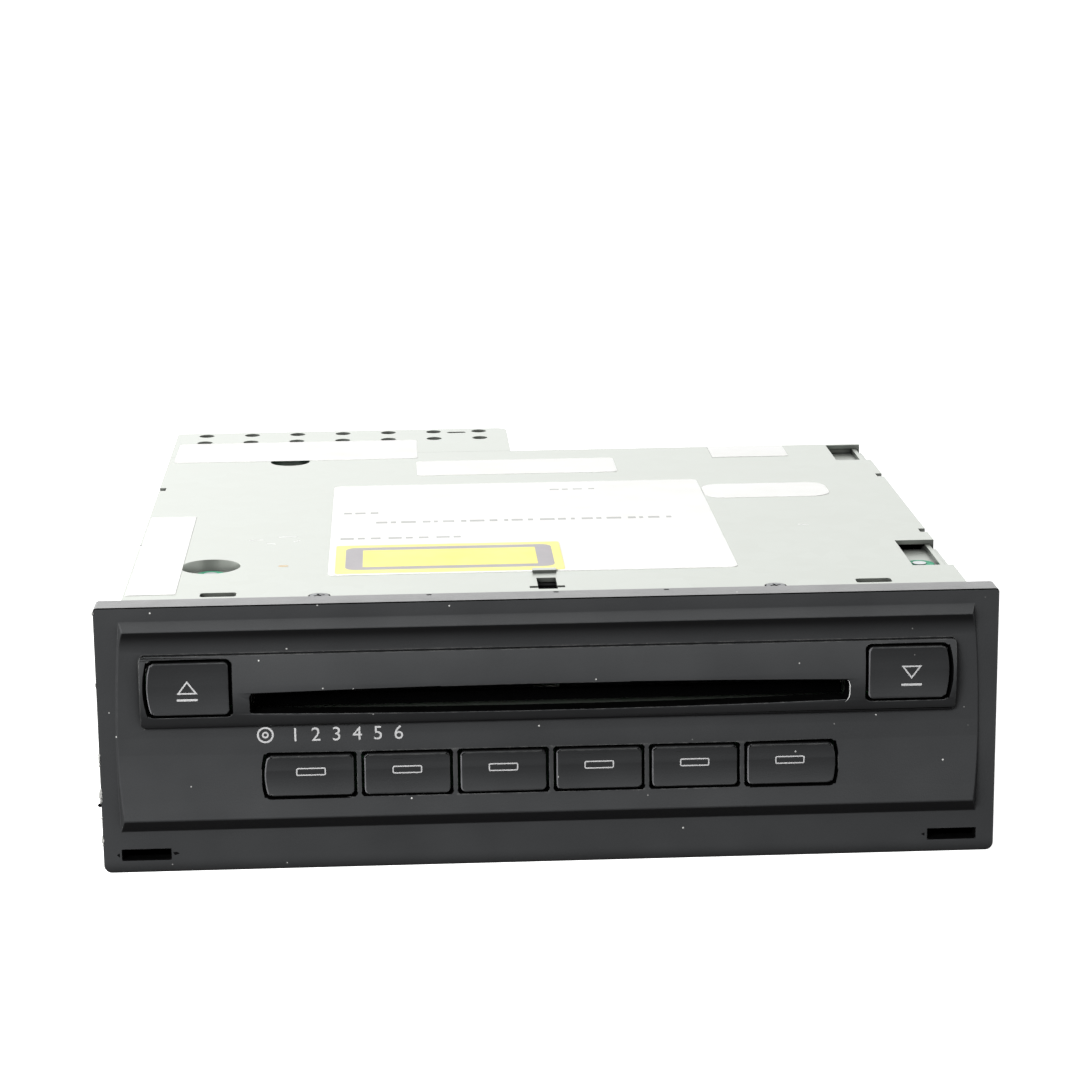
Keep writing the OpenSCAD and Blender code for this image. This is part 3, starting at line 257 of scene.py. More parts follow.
def specks(tree, place, spacing_mm, size_mm, share):
    """Scattered dots: about one cell in 1/share carries a dot."""
    cells = add(tree, "ShaderNodeTexVoronoi", {
        "Vector": place, "Scale": 1 / (spacing_mm * MM), "Randomness": 1.0})
    near = spread(tree, cells.outputs["Distance"], size_mm / spacing_mm,
                  0.6 * size_mm / spacing_mm)
    pick = add(tree, "ShaderNodeSeparateColor", {"Color": cells.outputs["Color"]})
    chosen = maths(tree, "LESS_THAN", pick.outputs["Red"], share)
    return maths(tree, "MULTIPLY", near, chosen)


def moulded_plastic(name, dark, light, grain_mm, depth_mm, rough, dust=0.0, worn=0.0,
                    under=-0.36, over=0.06):
    """Black ABS with a moulded grain, dust specks and worn edges.

    Ground that looks down, and corners that an occlusion test finds, are painted near
    black as shade, while ground that looks up keeps the plastic's own colour: `under` and
    `over` are the heights of the surface normal between which the painted shade fades out.
    """
    material, tree, shader, place = new_material(name)
    blotch = spread(tree, noise(tree, place, 18.0, 2.0), 0.3, 0.7)
    colour = blend_colours(tree, blotch, dark, light)
    if dust:
        dots = specks(tree, place, 4.6, 0.22, dust)
        colour = blend_colours(tree, dots, colour, "#d9d9d6")
    if worn:
        rub = maths(tree, "MULTIPLY", edge_mask(tree, 0.5),
                    spread(tree, noise(tree, place, 1.6, 5.0), 0.42, 0.62, 0, worn))
        colour = blend_colours(tree, rub, colour, "#a9a9a6")
    # Painted shade: ground that looks down and corners found by occlusion go to near black #090909.
    corner = add(tree, "ShaderNodeAmbientOcclusion", {"Distance": 3.0 * MM}, samples=8)
    slope = add(tree, "ShaderNodeSeparateXYZ", {
        "Vector": add(tree, "ShaderNodeNewGeometry").outputs["Normal"]})
    lit_by_slope = spread(tree, slope.outputs["Z"], under, over)
    clear_of_painted_shade = maths(tree, "MULTIPLY", lit_by_slope, spread(tree, corner.outputs["AO"], 0.35, 0.95))
    tree.links.new(blend_colours(tree, clear_of_painted_shade, "#090909", colour), shader.inputs["Base Color"])
    gloss(tree, shader, noise(tree, place, 6.0, 4.0), rough - 0.06, rough + 0.08)
    relief(tree, shader, grain(tree, place, grain_mm), depth_mm, 0.5, 0.12)
    shader.inputs["IOR"].default_value = 1.6
    return material


face_plastic = moulded_plastic("moulded_abs_face", "#373839", "#3d3e3f", 0.34, 0.04,
                               0.32, dust=1.0, worn=0.5)
key_plastic = moulded_plastic("moulded_abs_key", "#323334", "#38393a", 0.30, 0.03,
                              0.36, dust=0.7, worn=0.3, under=-0.42, over=0.2)
print(face_plastic.name, key_plastic.name)

# %% [markdown]
# The housing is steel sheet with a coat of zinc. The zinc gives it a pale, cool,
# slightly cloudy shine, with faint crystals a few millimetres across, and rolling
# leaves fine lines along it. It is a metal, so its colour is the colour of its
# reflections, and a roughness near a third spreads them. The folds and the edges of
# holes are painted darker as shade, where an occlusion test finds them closed in.

# %% Galvanised sheet
def zinc_sheet(name, light, shade, rough, spangle_mm=5.0):
    """Zinc coat with crystals of spangle_mm, rolling lines and painted shade in its corners."""
    material, tree, shader, place = new_material(name)
    cloud = noise(tree, place, 22.0, 4.0)
    crystals = add(tree, "ShaderNodeTexVoronoi", {
        "Vector": place, "Scale": 1 / (spangle_mm * MM)})
    pick = add(tree, "ShaderNodeSeparateColor", {"Color": crystals.outputs["Color"]})
    mixed = maths(tree, "ADD", maths(tree, "MULTIPLY", cloud, 0.75),
                  maths(tree, "MULTIPLY", pick.outputs["Green"], 0.25))
    sheet = blend_colours(tree, spread(tree, mixed, 0.3, 0.7), shade, light)
    # Painted shade: closed-in corners of the sheet go towards dark grey #3a3c3b.
    corner = add(tree, "ShaderNodeAmbientOcclusion", {"Distance": 2.5 * MM}, samples=8)
    clear_of_painted_shade = spread(tree, corner.outputs["AO"], 0.25, 0.85)
    tree.links.new(blend_colours(tree, clear_of_painted_shade, "#3a3c3b", sheet), shader.inputs["Base Color"])
    gloss(tree, shader, mixed, rough - 0.05, rough + 0.09)
    stretch = add(tree, "ShaderNodeMapping", {"Vector": place, "Scale": (1.0, 0.04, 1.0)})
    lines = noise(tree, stretch.outputs["Vector"], 0.35, 2.0)
    relief(tree, shader, lines, 0.004, 0.35, 0.25)
    shader.inputs["Metallic"].default_value = 0.85
    return material


sheet_steel = zinc_sheet("galvanised_sheet", "#a8aca6", "#9ea29b", 0.34)
spring_steel = zinc_sheet("hardened_spring_steel", "#b4b8ba", "#94989a", 0.30, 9.0)
print(sheet_steel.name, spring_steel.name)

# %% [markdown]
# The smaller parts are plain workshop materials. Each still has a cloud of two
# close tones, its own grain and its own edge radius, because a single flat colour
# reads as paint. One recipe serves them, with the values that tell them apart:
# two colours, the grain's size and depth, roughness, and metal or not.

# %% Recipe for the small parts
def plain_finish(name, dark, light, grain_mm, depth_mm, rough, metal=0.0,
                 ior=1.5):
    """Two close tones in soft clouds, over a fine grain and broken edges."""
    material, tree, shader, place = new_material(name)
    tone(tree, shader, spread(tree, noise(tree, place, grain_mm * 12, 4.0), 0.32, 0.68),
         dark, light)
    gloss(tree, shader, noise(tree, place, grain_mm * 5, 3.0), rough - 0.05, rough + 0.08)
    relief(tree, shader, noise(tree, place, grain_mm, 3.0), depth_mm, 0.5, 0.15)
    shader.inputs["Metallic"].default_value = metal
    if not metal:
        shader.inputs["IOR"].default_value = ior
    return material


def dull(material):
    """Take nearly all the gloss off a finish, as on a burr or an unpolished core mark."""
    for node in material.node_tree.nodes:
        if node.type == "BSDF_PRINCIPLED":
            node.inputs["Specular IOR Level"].default_value = 0.05


# The screw steel is darkened as painted shade, so the recessed heads read as dark shadow gaps.
darkened_screw_steel = plain_finish("screw_steel_darkened_as_shade", "#3f4142", "#55585a", 0.3, 0.01, 0.3, 1.0)
motor_steel = plain_finish("nickelled_motor_can", "#b9bbbb", "#cfd1d0", 0.5, 0.004, 0.28, 1.0)
shaft_steel = plain_finish("ground_shaft_steel", "#c4c6c7", "#dcdddd", 0.4, 0.003, 0.2, 1.0)
gold_contact = plain_finish("gold_flashed_brass", "#c79a3e", "#e2bd62", 0.3, 0.003, 0.25, 1.0)
green_rubber = plain_finish("green_silicone_rubber", "#12805c", "#2aa57c", 0.5, 0.02, 0.55, ior=1.43)
roller_rubber = plain_finish("black_roller_rubber", "#1d1d1e", "#2a2a2a", 0.4, 0.03, 0.7)
chip_plastic = plain_finish("moulded_epoxy_black", "#1d1d1f", "#2a2a2c", 0.25, 0.02, 0.5)
white_plastic = plain_finish("natural_acetal", "#e2dfd4", "#f0eee6", 0.6, 0.01, 0.42, ior=1.48)
tray_plastic = plain_finish("grey_filled_acetal", "#5b5d60", "#6c6e71", 0.5, 0.015, 0.45, ior=1.48)
switch_plastic = plain_finish("switch_nylon", "#b7b7b1", "#cdcdc7", 0.4, 0.01, 0.45)
flat_cable = plain_finish("flat_cable_polyester", "#dcd8cb", "#ece8dc", 1.2, 0.01, 0.38)
print("small parts ready")

# %% [markdown]
# Three more have a structure of their own. Felt is a mat of fibres: very dark,
# rough, with a sheen where the fibres stand up. A circuit board is green lacquer
# over copper tracks, which lie in a grid and show as a lighter green. The pickup's
# lens is clear glass.

# %% Felt, circuit board and lens
slot_felt, tree, shader, place = new_material("black_wool_felt")
fibres = noise(tree, place, 0.35, 6.0, 0.8)
tone(tree, shader, fibres, "#020202", "#0a0a0b")
relief(tree, shader, fibres, 0.25, 0.9)
shader.inputs["Roughness"].default_value = 0.95
shader.inputs["Sheen Weight"].default_value = 0.0
shader.inputs["Specular IOR Level"].default_value = 0.1

circuit_board, tree, shader, place = new_material("green_lacquered_board")
TRACK_MM = 2.54
tracks = add(tree, "ShaderNodeTexBrick", {
    "Vector": place, "Scale": 1 / (TRACK_MM * 2 * MM), "Mortar Size": 0.06,
    "Color1": linear("#1f5a31"), "Color2": linear("#245f36"),
    "Mortar": linear("#3f8f55")}, offset=0.5)
tree.links.new(tracks.outputs["Color"], shader.inputs["Base Color"])
gloss(tree, shader, noise(tree, place, 3.0), 0.3, 0.42)
relief(tree, shader, tracks.outputs["Fac"], 0.02, 0.5)

lens_glass, tree, shader, place = new_material("polished_lens_glass")
tone(tree, shader, noise(tree, place, 2.0), "#cfd8ff", "#e6ecff")
shader.inputs["Roughness"].default_value = 0.03
shader.inputs["Transmission Weight"].default_value = 0.9
shader.inputs["IOR"].default_value = 1.52
print("felt, board and lens ready")

# %% [markdown]
# The record names a material slot for every CAD node, so the finishes are handed
# out by slot. Nothing is left with the plain colour that it came with.

# %% Hand the finishes out
FINISH_OF_SLOT = {
    "black_plastic": face_plastic, "key_plastic": key_plastic,
    "galvanised_sheet": sheet_steel, "spring_steel": spring_steel,
    "screw_steel": darkened_screw_steel, "green_board": circuit_board,
    "switch_plastic": switch_plastic, "felt": slot_felt, "green_rubber": green_rubber,
    "chip_plastic": chip_plastic, "flat_cable": flat_cable, "gold_contact": gold_contact,
    "white_plastic": white_plastic, "roller_rubber": roller_rubber,
    "motor_steel": motor_steel, "shaft_steel": shaft_steel,
    "tray_plastic": tray_plastic, "lens_glass": lens_glass,
}
slot_of = {part["node"]: part["material_slot"] for part in frame["record"]["subparts"]}


def dress(piece, material):
    """Gives a piece or a CAD node one finish all over."""
    piece.data.materials.clear()
    piece.data.materials.append(material)
    for face in piece.data.polygons:
        face.material_index = 0


for name, node in cad.items():
    dress(node, FINISH_OF_SLOT[slot_of[name]])
print("dressed", len(cad), "nodes in", len(set(slot_of.values())), "finishes")

# %% [markdown]
# A new piece starts as a primitive, is shaped in edit mode, and ends with its object
# at the origin. Operators act on whatever is selected, so a small helper clears the
# selection first. Another writes the finished place into the mesh, then hands the
# piece to the body that carries it.

# %% Modelling helpers
def alone(piece=None):
    """Nothing is selected but this piece."""
    if bpy.context.mode != "OBJECT":
        bpy.ops.object.mode_set(mode="OBJECT")
    bpy.ops.object.select_all(action="DESELECT")
    if piece:
        piece.select_set(True)
        bpy.context.view_layer.objects.active = piece


def apply_all(piece):
    """Applies every modifier in order."""
    alone(piece)
    for modifier in list(piece.modifiers):
        bpy.ops.object.modifier_apply(modifier=modifier.name)


def settle_origin(piece):
    """Moves the object's place into its mesh."""
    alone(piece)
    bpy.ops.object.transform_apply(location=True, rotation=True, scale=True)
    return piece


def finish_piece(piece, name, body, material, smooth_deg=None):
    """Names, dresses and hangs a finished piece on its body."""
    settle_origin(piece)
    if smooth_deg:
        bpy.ops.object.shade_smooth_by_angle(angle=math.radians(smooth_deg))
    piece.name = name
    piece.data.name = name
    dress(piece, material)
    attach(piece, body)
    return piece


def copy_of(piece, name):
    """A copy with its own mesh."""
    twin = piece.copy()
    twin.data = piece.data.copy()
    bpy.context.scene.collection.objects.link(twin)
    twin.name = name
    return twin


print("modelling helpers ready")

# %% [markdown]
# A fingertip finds a key by the hollow in its front. It is drawn finer here than in
# the CAD: it runs over the whole height of the key, deepest in the middle, so the
# upper half looks down and stays dark and the lower half looks up and is lit. A flat
# face has no points that could sink, so the key is cut into level strips first, and
# each point then goes to its depth on the arc.

# %% The hollow in the front of a key
DRAFT = 0.14                          # how far each side of a key draws in
CAP_DEEP = 1.0                        # the part of a key that shows in front of the face
STRIPS = 16
MERGE = 0.08                          # points closer than this become one
# the height of each hollow's middle, its half height and its depth
BIG_DISH = (40.2, 5.9, 0.5)
SMALL_DISH = (20.7, 4.7, 0.6)
KEY_NODES = [node for node in cad if "_button" in node]
DISH_OF_KEY = {node: SMALL_DISH if node.startswith("disc") else BIG_DISH
               for node in KEY_NODES}


def hollow(piece, middle_mm, reach_mm, depth_mm):
    """Cut the front of a key into level strips and sink them along a shallow arc."""
    front = min(v.co.y for v in piece.data.vertices)
    alone(piece)
    bpy.ops.object.mode_set(mode="EDIT")
    for k in range(1, STRIPS):
        level = middle_mm + reach_mm * (2.0 * k / STRIPS - 1.0)
        bpy.ops.mesh.select_all(action="SELECT")
        bpy.ops.mesh.bisect(plane_co=piece.matrix_world @ Vector((0, 0, level * MM)),
                            plane_no=(0, 0, 1))
    bpy.ops.object.mode_set(mode="OBJECT")
    # the sides draw in a little, so the key slides with a gap all round
    wide = [v.co.x for v in piece.data.vertices if v.co.y < front + CAP_DEEP * MM]
    centre, half = (min(wide) + max(wide)) / 2, (max(wide) - min(wide)) / 2
    for point in piece.data.vertices:
        point.co.x = centre + (point.co.x - centre) * (1 - DRAFT * MM / half)
        point.co.z = (middle_mm * MM + (point.co.z - middle_mm * MM)
                      * (1 - DRAFT / (reach_mm + 0.2)))
        if point.co.y < front + (depth_mm + 0.15) * MM:
            along = (point.co.z / MM - middle_mm) / reach_mm
            arc = front + depth_mm * MM * max(0.0, 1.0 - along * along)
            point.co.y = max(point.co.y, arc)
    piece.data.update()
    bpy.ops.object.mode_set(mode="EDIT")
    bpy.ops.mesh.select_all(action="SELECT")
    bpy.ops.mesh.remove_doubles(threshold=MERGE * MM)
    bpy.ops.object.mode_set(mode="OBJECT")

# %% [markdown]
# Moulded parts have no knife edges. A mould leaves a radius of a quarter of a
# millimetre, and it is that radius that catches a line of light. The CAD solid of such
# a part is copied, its loose triangles are merged back into faces, and a bevel breaks
# the edges. Weighted normals keep the large faces flat beside the narrow bevels. The
# copy then stands for the node.

# %% Rounded edges
KEY_EDGE = 0.28
FACE_EDGE = 0.22
SHARP_DEG = 32                        # edges that turn by more than this are rounded


def soften(node, radius_mm):
    """A copy of a CAD node with rounded edges, which stands for it."""
    source = cad[node]
    piece = copy_of(source, node + "_moulded")
    alone(piece)
    bpy.ops.object.mode_set(mode="EDIT")
    bpy.ops.mesh.select_all(action="SELECT")
    bpy.ops.mesh.remove_doubles(threshold=0.002 * MM)
    bpy.ops.mesh.dissolve_limited(angle_limit=math.radians(0.4))
    bpy.ops.object.mode_set(mode="OBJECT")
    if node in DISH_OF_KEY:
        hollow(piece, *DISH_OF_KEY[node])
    bevel = piece.modifiers.new("edge", "BEVEL")
    bevel.width = radius_mm * MM
    bevel.segments = 2
    bevel.limit_method = "ANGLE"
    bevel.angle_limit = math.radians(SHARP_DEG)
    bevel.use_clamp_overlap = False
    apply_all(piece)
    finish_piece(piece, node + "_moulded", source["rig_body"],
                 FINISH_OF_SLOT[slot_of[node]], smooth_deg=30)
    even = piece.modifiers.new("large faces stay flat", "WEIGHTED_NORMAL")
    even.keep_sharp = True
    even.weight = 100
    apply_all(piece)
    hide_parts(node)
    return piece


keys = {node: soften(node, KEY_EDGE) for node in KEY_NODES}
print("softened keys:", len(keys), "faces each:", len(keys["eject_button"].data.polygons))
bezel = soften("front_bezel", FACE_EDGE)
print("softened face:", len(bezel.data.polygons), "faces")

# %% [markdown]
# No light reaches the walls inside the openings of the face, so they are painted near
# black as shade, and duller, so every gap round a key and every slot reads as a black line.

# %% Painted shade on the walls inside the openings
# Painted shade: near black #030303 on the walls inside every opening.
opening_shade_plastic = plain_finish("unlit_opening_wall", "#030303", "#070707", 0.3, 0.01, 0.9)
dull(opening_shade_plastic)
bezel.data.materials.append(opening_shade_plastic)
RIM = 1.8                             # the border's outer walls, which stay as they are
SLOT_END_X = 62.3                     # the disc slot runs from -SLOT_END_X to SLOT_END_X
SLOT_MID_Z = 36.8
SLOT_HALF = 2.9                       # half its height in the middle
TOOL_IN, TOOL_OUT = 80, 90            # the slots for the removal tool, left and right
TOOL_FOOT, TOOL_TOP = 2.85, 4.95
# each opening: left, right, foot, top and how far its rounded edge reaches beyond it
holes = [(-SLOT_END_X, SLOT_END_X, SLOT_MID_Z - SLOT_HALF, SLOT_MID_Z + SLOT_HALF, 0.2),
         (-TOOL_OUT, -TOOL_IN, TOOL_FOOT, TOOL_TOP, 0.3),
         (TOOL_IN, TOOL_OUT, TOOL_FOOT, TOOL_TOP, 0.3)]
for node in keys:
    low, high = edges_of(node)
    holes.append((low.x, high.x, low.z, high.z, 0.62))
walls = 0
for face in bezel.data.polygons:
    x, z = face.center.x / MM, face.center.z / MM
    inside = (face_low.x + RIM < x < face_high.x - RIM
              and RIM < z < face_high.z - RIM)
    points = [bezel.data.vertices[k].co / MM for k in face.vertices]
    rim = abs(face.normal.y) < 0.94 and any(
        all(x0 - grow < p.x < x1 + grow and z0 - grow < p.z < z1 + grow for p in points)
        for x0, x1, z0, z1, grow in holes)
    if rim or (inside and abs(face.normal.y) < 0.35):
        face.material_index = 1
        walls += 1
print("walls inside openings:", walls)

# %% [markdown]
# The sharp upper edge of the face reads as a thin black line between the shiny top
# and the front, where it faces the dim room. The same near-black painted shade serves
# for it too: it goes on the faces that lean between the two.

# %% Painted dark line along the upper edge
# Painted shade: the near-black finish of the openings goes on the leaning faces of the upper edge.
for face in bezel.data.polygons:
    heights = [bezel.data.vertices[k].co.z / MM for k in face.vertices]
    if min(heights) > face_high.z - 0.5 and -0.95 < face.normal.y < -0.25:
        face.material_index = 1
print("dark faces in all:", sum(face.material_index for face in bezel.data.polygons))

# %% [markdown]
# The left edge of every key catches the light from the left. A lighter grey is painted
# there as a highlight, a line no wider than the edge itself.

# %% Painted highlight on the left edges of the keys
# Painted highlight: grey #58585a to #707072 on the faces of each key's left edge.
key_edge_highlight = plain_finish("painted_key_edge_highlight", "#58585a", "#707072", 0.3, 0.01, 0.4)
highlit = 0
for key in keys.values():
    key.data.materials.append(key_edge_highlight)
    for face in key.data.polygons:
        if face.normal.y < -0.25 and face.normal.x < -0.25:
            face.material_index = 1
            highlit += 1
print("rubbed edge faces:", highlit)

# %% [markdown]
# Three papers lie on the lid: a big matt white label, small white strips, and a
# yellow sticker with a grey frame. Each is about a tenth of a millimetre thick. Real
# ones are die cut, so the corners are round, and the surface is coated paper with
# faint fibres. What is printed on the real labels is left off here: rows of pale
# dashes keep the look of a filled-in form and say nothing.

# %% Paper and ink
def coated_paper(name, light, shade, rough=0.55):
    """Smooth matt paper with faint clouds and fibres."""
    material, tree, shader, place = new_material(name)
    tone(tree, shader, spread(tree, noise(tree, place, 14.0, 5.0), 0.3, 0.7), shade, light)
    gloss(tree, shader, noise(tree, place, 2.5), rough - 0.05, rough + 0.05)
    relief(tree, shader, noise(tree, place, 0.5, 4.0), 0.008, 0.4, 0.04)
    shader.inputs["IOR"].default_value = 1.47
    return material


white_paper = coated_paper("coated_white_paper", "#fbfbfa", "#f4f4f0")
yellow_paper = coated_paper("coated_yellow_paper", "#fdf292", "#f7e97c", 0.45)
pale_yellow = coated_paper("coated_pale_yellow", "#fbef7e", "#f5e56c", 0.45)
grey_ink = coated_paper("printed_grey_ink", "#aca8ab", "#a29ea1", 0.5)
pale_ink = coated_paper("worn_pale_ink", "#c9c8c6", "#b9b8b6", 0.6)
print("paper and ink ready")

# %% [markdown]
# A label starts as a plane of one square metre scaled to its size. Its corner
# points are bevelled into arcs, and an extrusion gives it thickness. One function
# makes them all, from the two corners of the label on the drawing.

# %% Label maker
LABEL_T = 0.1                         # the big label and the sticker
STRIP_T = 0.08                        # strips and folded papers
INK_FILM = 0.02                       # printing


def slab(x0, x1, y0, y1, z, corner, thickness=LABEL_T, turn_deg=0.0):
    """A thin sheet with round corners, lying on height z."""
    alone()
    bpy.ops.mesh.primitive_plane_add(size=1.0)
    piece = bpy.context.object
    piece.scale = ((x1 - x0) * MM, (y1 - y0) * MM, 1)
    bpy.ops.object.transform_apply(scale=True)
    if corner:
        bpy.ops.object.mode_set(mode="EDIT")
        bpy.ops.mesh.select_all(action="SELECT")
        bpy.ops.mesh.bevel(offset=corner * MM, segments=5, affect="VERTICES")
        bpy.ops.object.mode_set(mode="OBJECT")
    solid = piece.modifiers.new("thickness", "SOLIDIFY")
    solid.thickness = thickness * MM
    solid.offset = 1.0
    apply_all(piece)
    piece.rotation_euler.z = math.radians(turn_deg)
    piece.location = at((x0 + x1) / 2, (y0 + y1) / 2, z)
    return settle_origin(piece)


def joined(pieces):
    """Several meshes made into one."""
    alone(pieces[0])
    for piece in pieces[1:]:
        piece.select_set(True)
    bpy.ops.object.join()
    return pieces[0]


cover_bvh = BVHTree.FromObject(cad["top_cover"], bpy.context.evaluated_depsgraph_get())
hit = cover_bvh.ray_cast(at(20, 80, 80), Vector((0, 0, -1)))[0]
LID_Z = hit.z / MM
print("top of the lid at", round(LID_Z, 2), "mm")

# %% White label and strips
label = slab(-46.3, 42.5, 27.4, 117.0, LID_Z, 1.6)
finish_piece(label, "lid_label", "chassis", white_paper)
strips = [slab(42.8, 73.0, 95.8, 111.0, LID_Z, 4.5, STRIP_T),
          slab(-26.0, 24.0, 128.0, 145.0, LID_Z, 1.5, STRIP_T)]
finish_piece(joined(strips), "lid_strips", "chassis", white_paper)
print("labels on the lid:", label.name)

# %% Yellow sticker with its frame
yellow = slab(-44.8, 5.0, 28.4, 54.0, LID_Z + LABEL_T, 0.8)
finish_piece(yellow, "sticker_ground", "chassis", yellow_paper)
STICKER_Z = LID_Z + 2 * LABEL_T
frame_sheet = slab(-42.6, 3.0, 31.2, 51.6, STICKER_Z, 2.4, INK_FILM)
finish_piece(frame_sheet, "sticker_frame", "chassis", grey_ink)
field_sheet = slab(-38.8, -0.6, 33.6, 49.0, STICKER_Z + INK_FILM, 0.3, INK_FILM)
finish_piece(field_sheet, "sticker_field", "chassis", pale_yellow)
print("sticker ready")

# %% [markdown]
# Two papers are folded over an edge: a long label over the left edge of the lid, and
# a seal over the rear edge. Each starts as a flat grid, and every point beyond the
# edge is turned down by as much as it lies beyond. A third strip bridges the lid and
# the vent lid behind it, which lie at one height.

# %% Folded papers
def grid_sheet(name, x0, x1, y0, y1, across, along):
    """A flat grid in the plane of the lid."""
    alone()
    bpy.ops.mesh.primitive_grid_add(x_subdivisions=across, y_subdivisions=along, size=1.0)
    piece = bpy.context.object
    piece.scale = ((x1 - x0) * MM, (y1 - y0) * MM, 1)
    piece.location = at((x0 + x1) / 2, (y0 + y1) / 2, LID_Z)
    settle_origin(piece)
    piece.name = name
    return piece


def thicken(piece):
    """Gives a sheet the thickness of folded paper, half to each side."""
    solid = piece.modifiers.new("thickness", "SOLIDIFY")
    solid.thickness = STRIP_T * MM
    solid.offset = 0.0
    apply_all(piece)
    return piece


SIDE_LIFT = 0.07                      # height of the side label's middle above the sheet
FOLD_R = 0.9                          # outer radius of the lid's left fold
LEFT_X = lid_low.x
side_label = grid_sheet("side_label", LEFT_X - 12.0, LEFT_X + 11.0, 14.0, 87.0, 92, 8)
for point in side_label.data.vertices:
    x = point.co.x / MM
    inside = x - (LEFT_X + FOLD_R)
    if inside < 0:
        bend = min(-inside / FOLD_R, math.pi / 2)
        down = -inside - bend * FOLD_R
        point.co.x = (LEFT_X + FOLD_R - (FOLD_R + SIDE_LIFT) * math.sin(bend)) * MM
        point.co.z = (LID_Z - FOLD_R + (FOLD_R + SIDE_LIFT) * math.cos(bend) - down) * MM
    else:
        point.co.z = (LID_Z + SIDE_LIFT) * MM
finish_piece(thicken(side_label), "lid_side_label", "chassis", white_paper, 40)

rear_strip = slab(-87.6, -25.6, 149.2, 172.8, LID_Z, 1.2, STRIP_T)
finish_piece(rear_strip, "rear_strip_label", "chassis", white_paper)

SEAL_LIFT = 0.06
REAR_Y = lid_high.y
seal = grid_sheet("seal", 49.4, 68.8, 143.0, REAR_Y + 9.0, 8, 90)
for point in seal.data.vertices:
    y = (point.co.y - face_y) / MM
    over = y - REAR_Y
    point.co.z = (LID_Z + SEAL_LIFT) * MM
    if over > 0:
        point.co.y = face_y + (REAR_Y + SEAL_LIFT) * MM
        point.co.z = (LID_Z + SEAL_LIFT - over) * MM
finish_piece(thicken(seal), "rear_seal", "chassis", white_paper, 40)
print("folded papers ready")

# %% [markdown]
# The big label carries faded printing. It is kept as plain dashes of uneven length
# in the same places, so the label looks filled in and says nothing.

# %% Faded rows on the big label
FORM_Z = LID_Z + LABEL_T


def dashes(x0, x1, y, height, lengths, gap):
    """A row of short bars that fills x0..x1, with lengths taken in turn."""
    row = []
    x, k = x0, 0
    while x + lengths[k % len(lengths)] < x1:
        length = lengths[k % len(lengths)]
        row.append(slab(x, x + length, y, y + height, FORM_Z, 0, INK_FILM))
        x += length + gap * (1 + (k % 3) * 0.5)
        k += 1
    return row


rows = dashes(-36.0, 35.0, 75.8, 1.7, (2.6, 1.2, 3.4, 1.8, 0.9), 0.8)
rows += dashes(-44.0, -14.0, 60.2, 1.5, (3.0, 1.6, 2.2), 0.9)
rows += dashes(-43.5, -33.0, 86.0, 1.4, (1.8, 2.4), 0.8)
rows += dashes(6.0, 18.0, 108.0, 1.0, (2.2, 1.4), 0.8)
finish_piece(joined(rows), "label_rows", "chassis", pale_ink)
print("faded rows on the label:", len(rows), "dashes")

# %% [markdown]
# The symbols on the keys are pad printed in light grey ink, a few hundredths of a
# millimetre thick. Each is a flat outline drawn in mesh, laid against the key by
# casting every point back onto it, so it follows the key's curve. The disc keys
# carry a lying bar outline, the left key an eject sign, the right key a load sign.

# %% Ink and the way it is laid on
symbol_ink, tree, shader, place = new_material("pad_printed_grey_ink")
thin = spread(tree, noise(tree, place, 0.25, 4.0), 0.30, 0.75)
tone(tree, shader, thin, "#c9c9c9", "#a2a2a3")
gloss(tree, shader, noise(tree, place, 1.0), 0.45, 0.6)
relief(tree, shader, thin, 0.01, 0.4)
INK_T = 0.03


def lay_on(piece, targets, lift=INK_T):
    """Moves each point of a flat print back along Y until it meets what carries it."""
    graph = bpy.context.evaluated_depsgraph_get()
    trees = [BVHTree.FromObject(target, graph) for target in targets]
    missed = 0
    for point in piece.data.vertices:
        start = Vector((point.co.x, face_y - 0.02, point.co.z))
        hits = [t.ray_cast(start, Vector((0, 1, 0)))[0] for t in trees]
        depths = [h.y for h in hits if h]
        missed += not depths
        if depths:
            point.co.y = min(depths) - lift * MM
    if missed:
        print(piece.name, "points that met nothing:", missed)


def flat_shape(loops):
    """A flat face in the XZ plane from closed loops in millimetres; two loops make a ring."""
    mesh = bpy.data.meshes.new("print")
    build = bmesh.new()
    rims = []
    for loop in loops:
        points = [build.verts.new(at(x, 0, z)) for x, z in loop]
        rims.append([build.edges.new((points[i], points[(i + 1) % len(points)]))
                     for i in range(len(points))])
    if len(rims) == 2 and len(rims[0]) == len(rims[1]):
        bmesh.ops.bridge_loops(build, edges=rims[0] + rims[1])
    else:
        bmesh.ops.triangle_fill(build, use_beauty=True, edges=[e for r in rims for e in r])
    build.to_mesh(mesh)
    build.free()
    piece = bpy.data.objects.new("print", mesh)
    bpy.context.scene.collection.objects.link(piece)
    return piece


CORNER_STEPS = 6


def arc_points(cx, cz, r, a0, a1):
    """Points along an arc from the angle a0 to a1, in degrees."""
    angles = [math.radians(a0 + (a1 - a0) * i / CORNER_STEPS) for i in range(CORNER_STEPS + 1)]
    return [(cx + r * math.cos(a), cz + r * math.sin(a)) for a in angles]


def bar_loop(cx, cz, width, height, r):
    """Outline of a lying bar with round corners, with points along its long sides."""
    w, h = width / 2 - r, height / 2 - r
    loop = []
    for sx, sz, a in ((1, 1, 0), (-1, 1, 90), (-1, -1, 180), (1, -1, 270)):
        loop += arc_points(cx + sx * w, cz + sz * h, r, a, a + 90)
    return loop


print("ink ready")

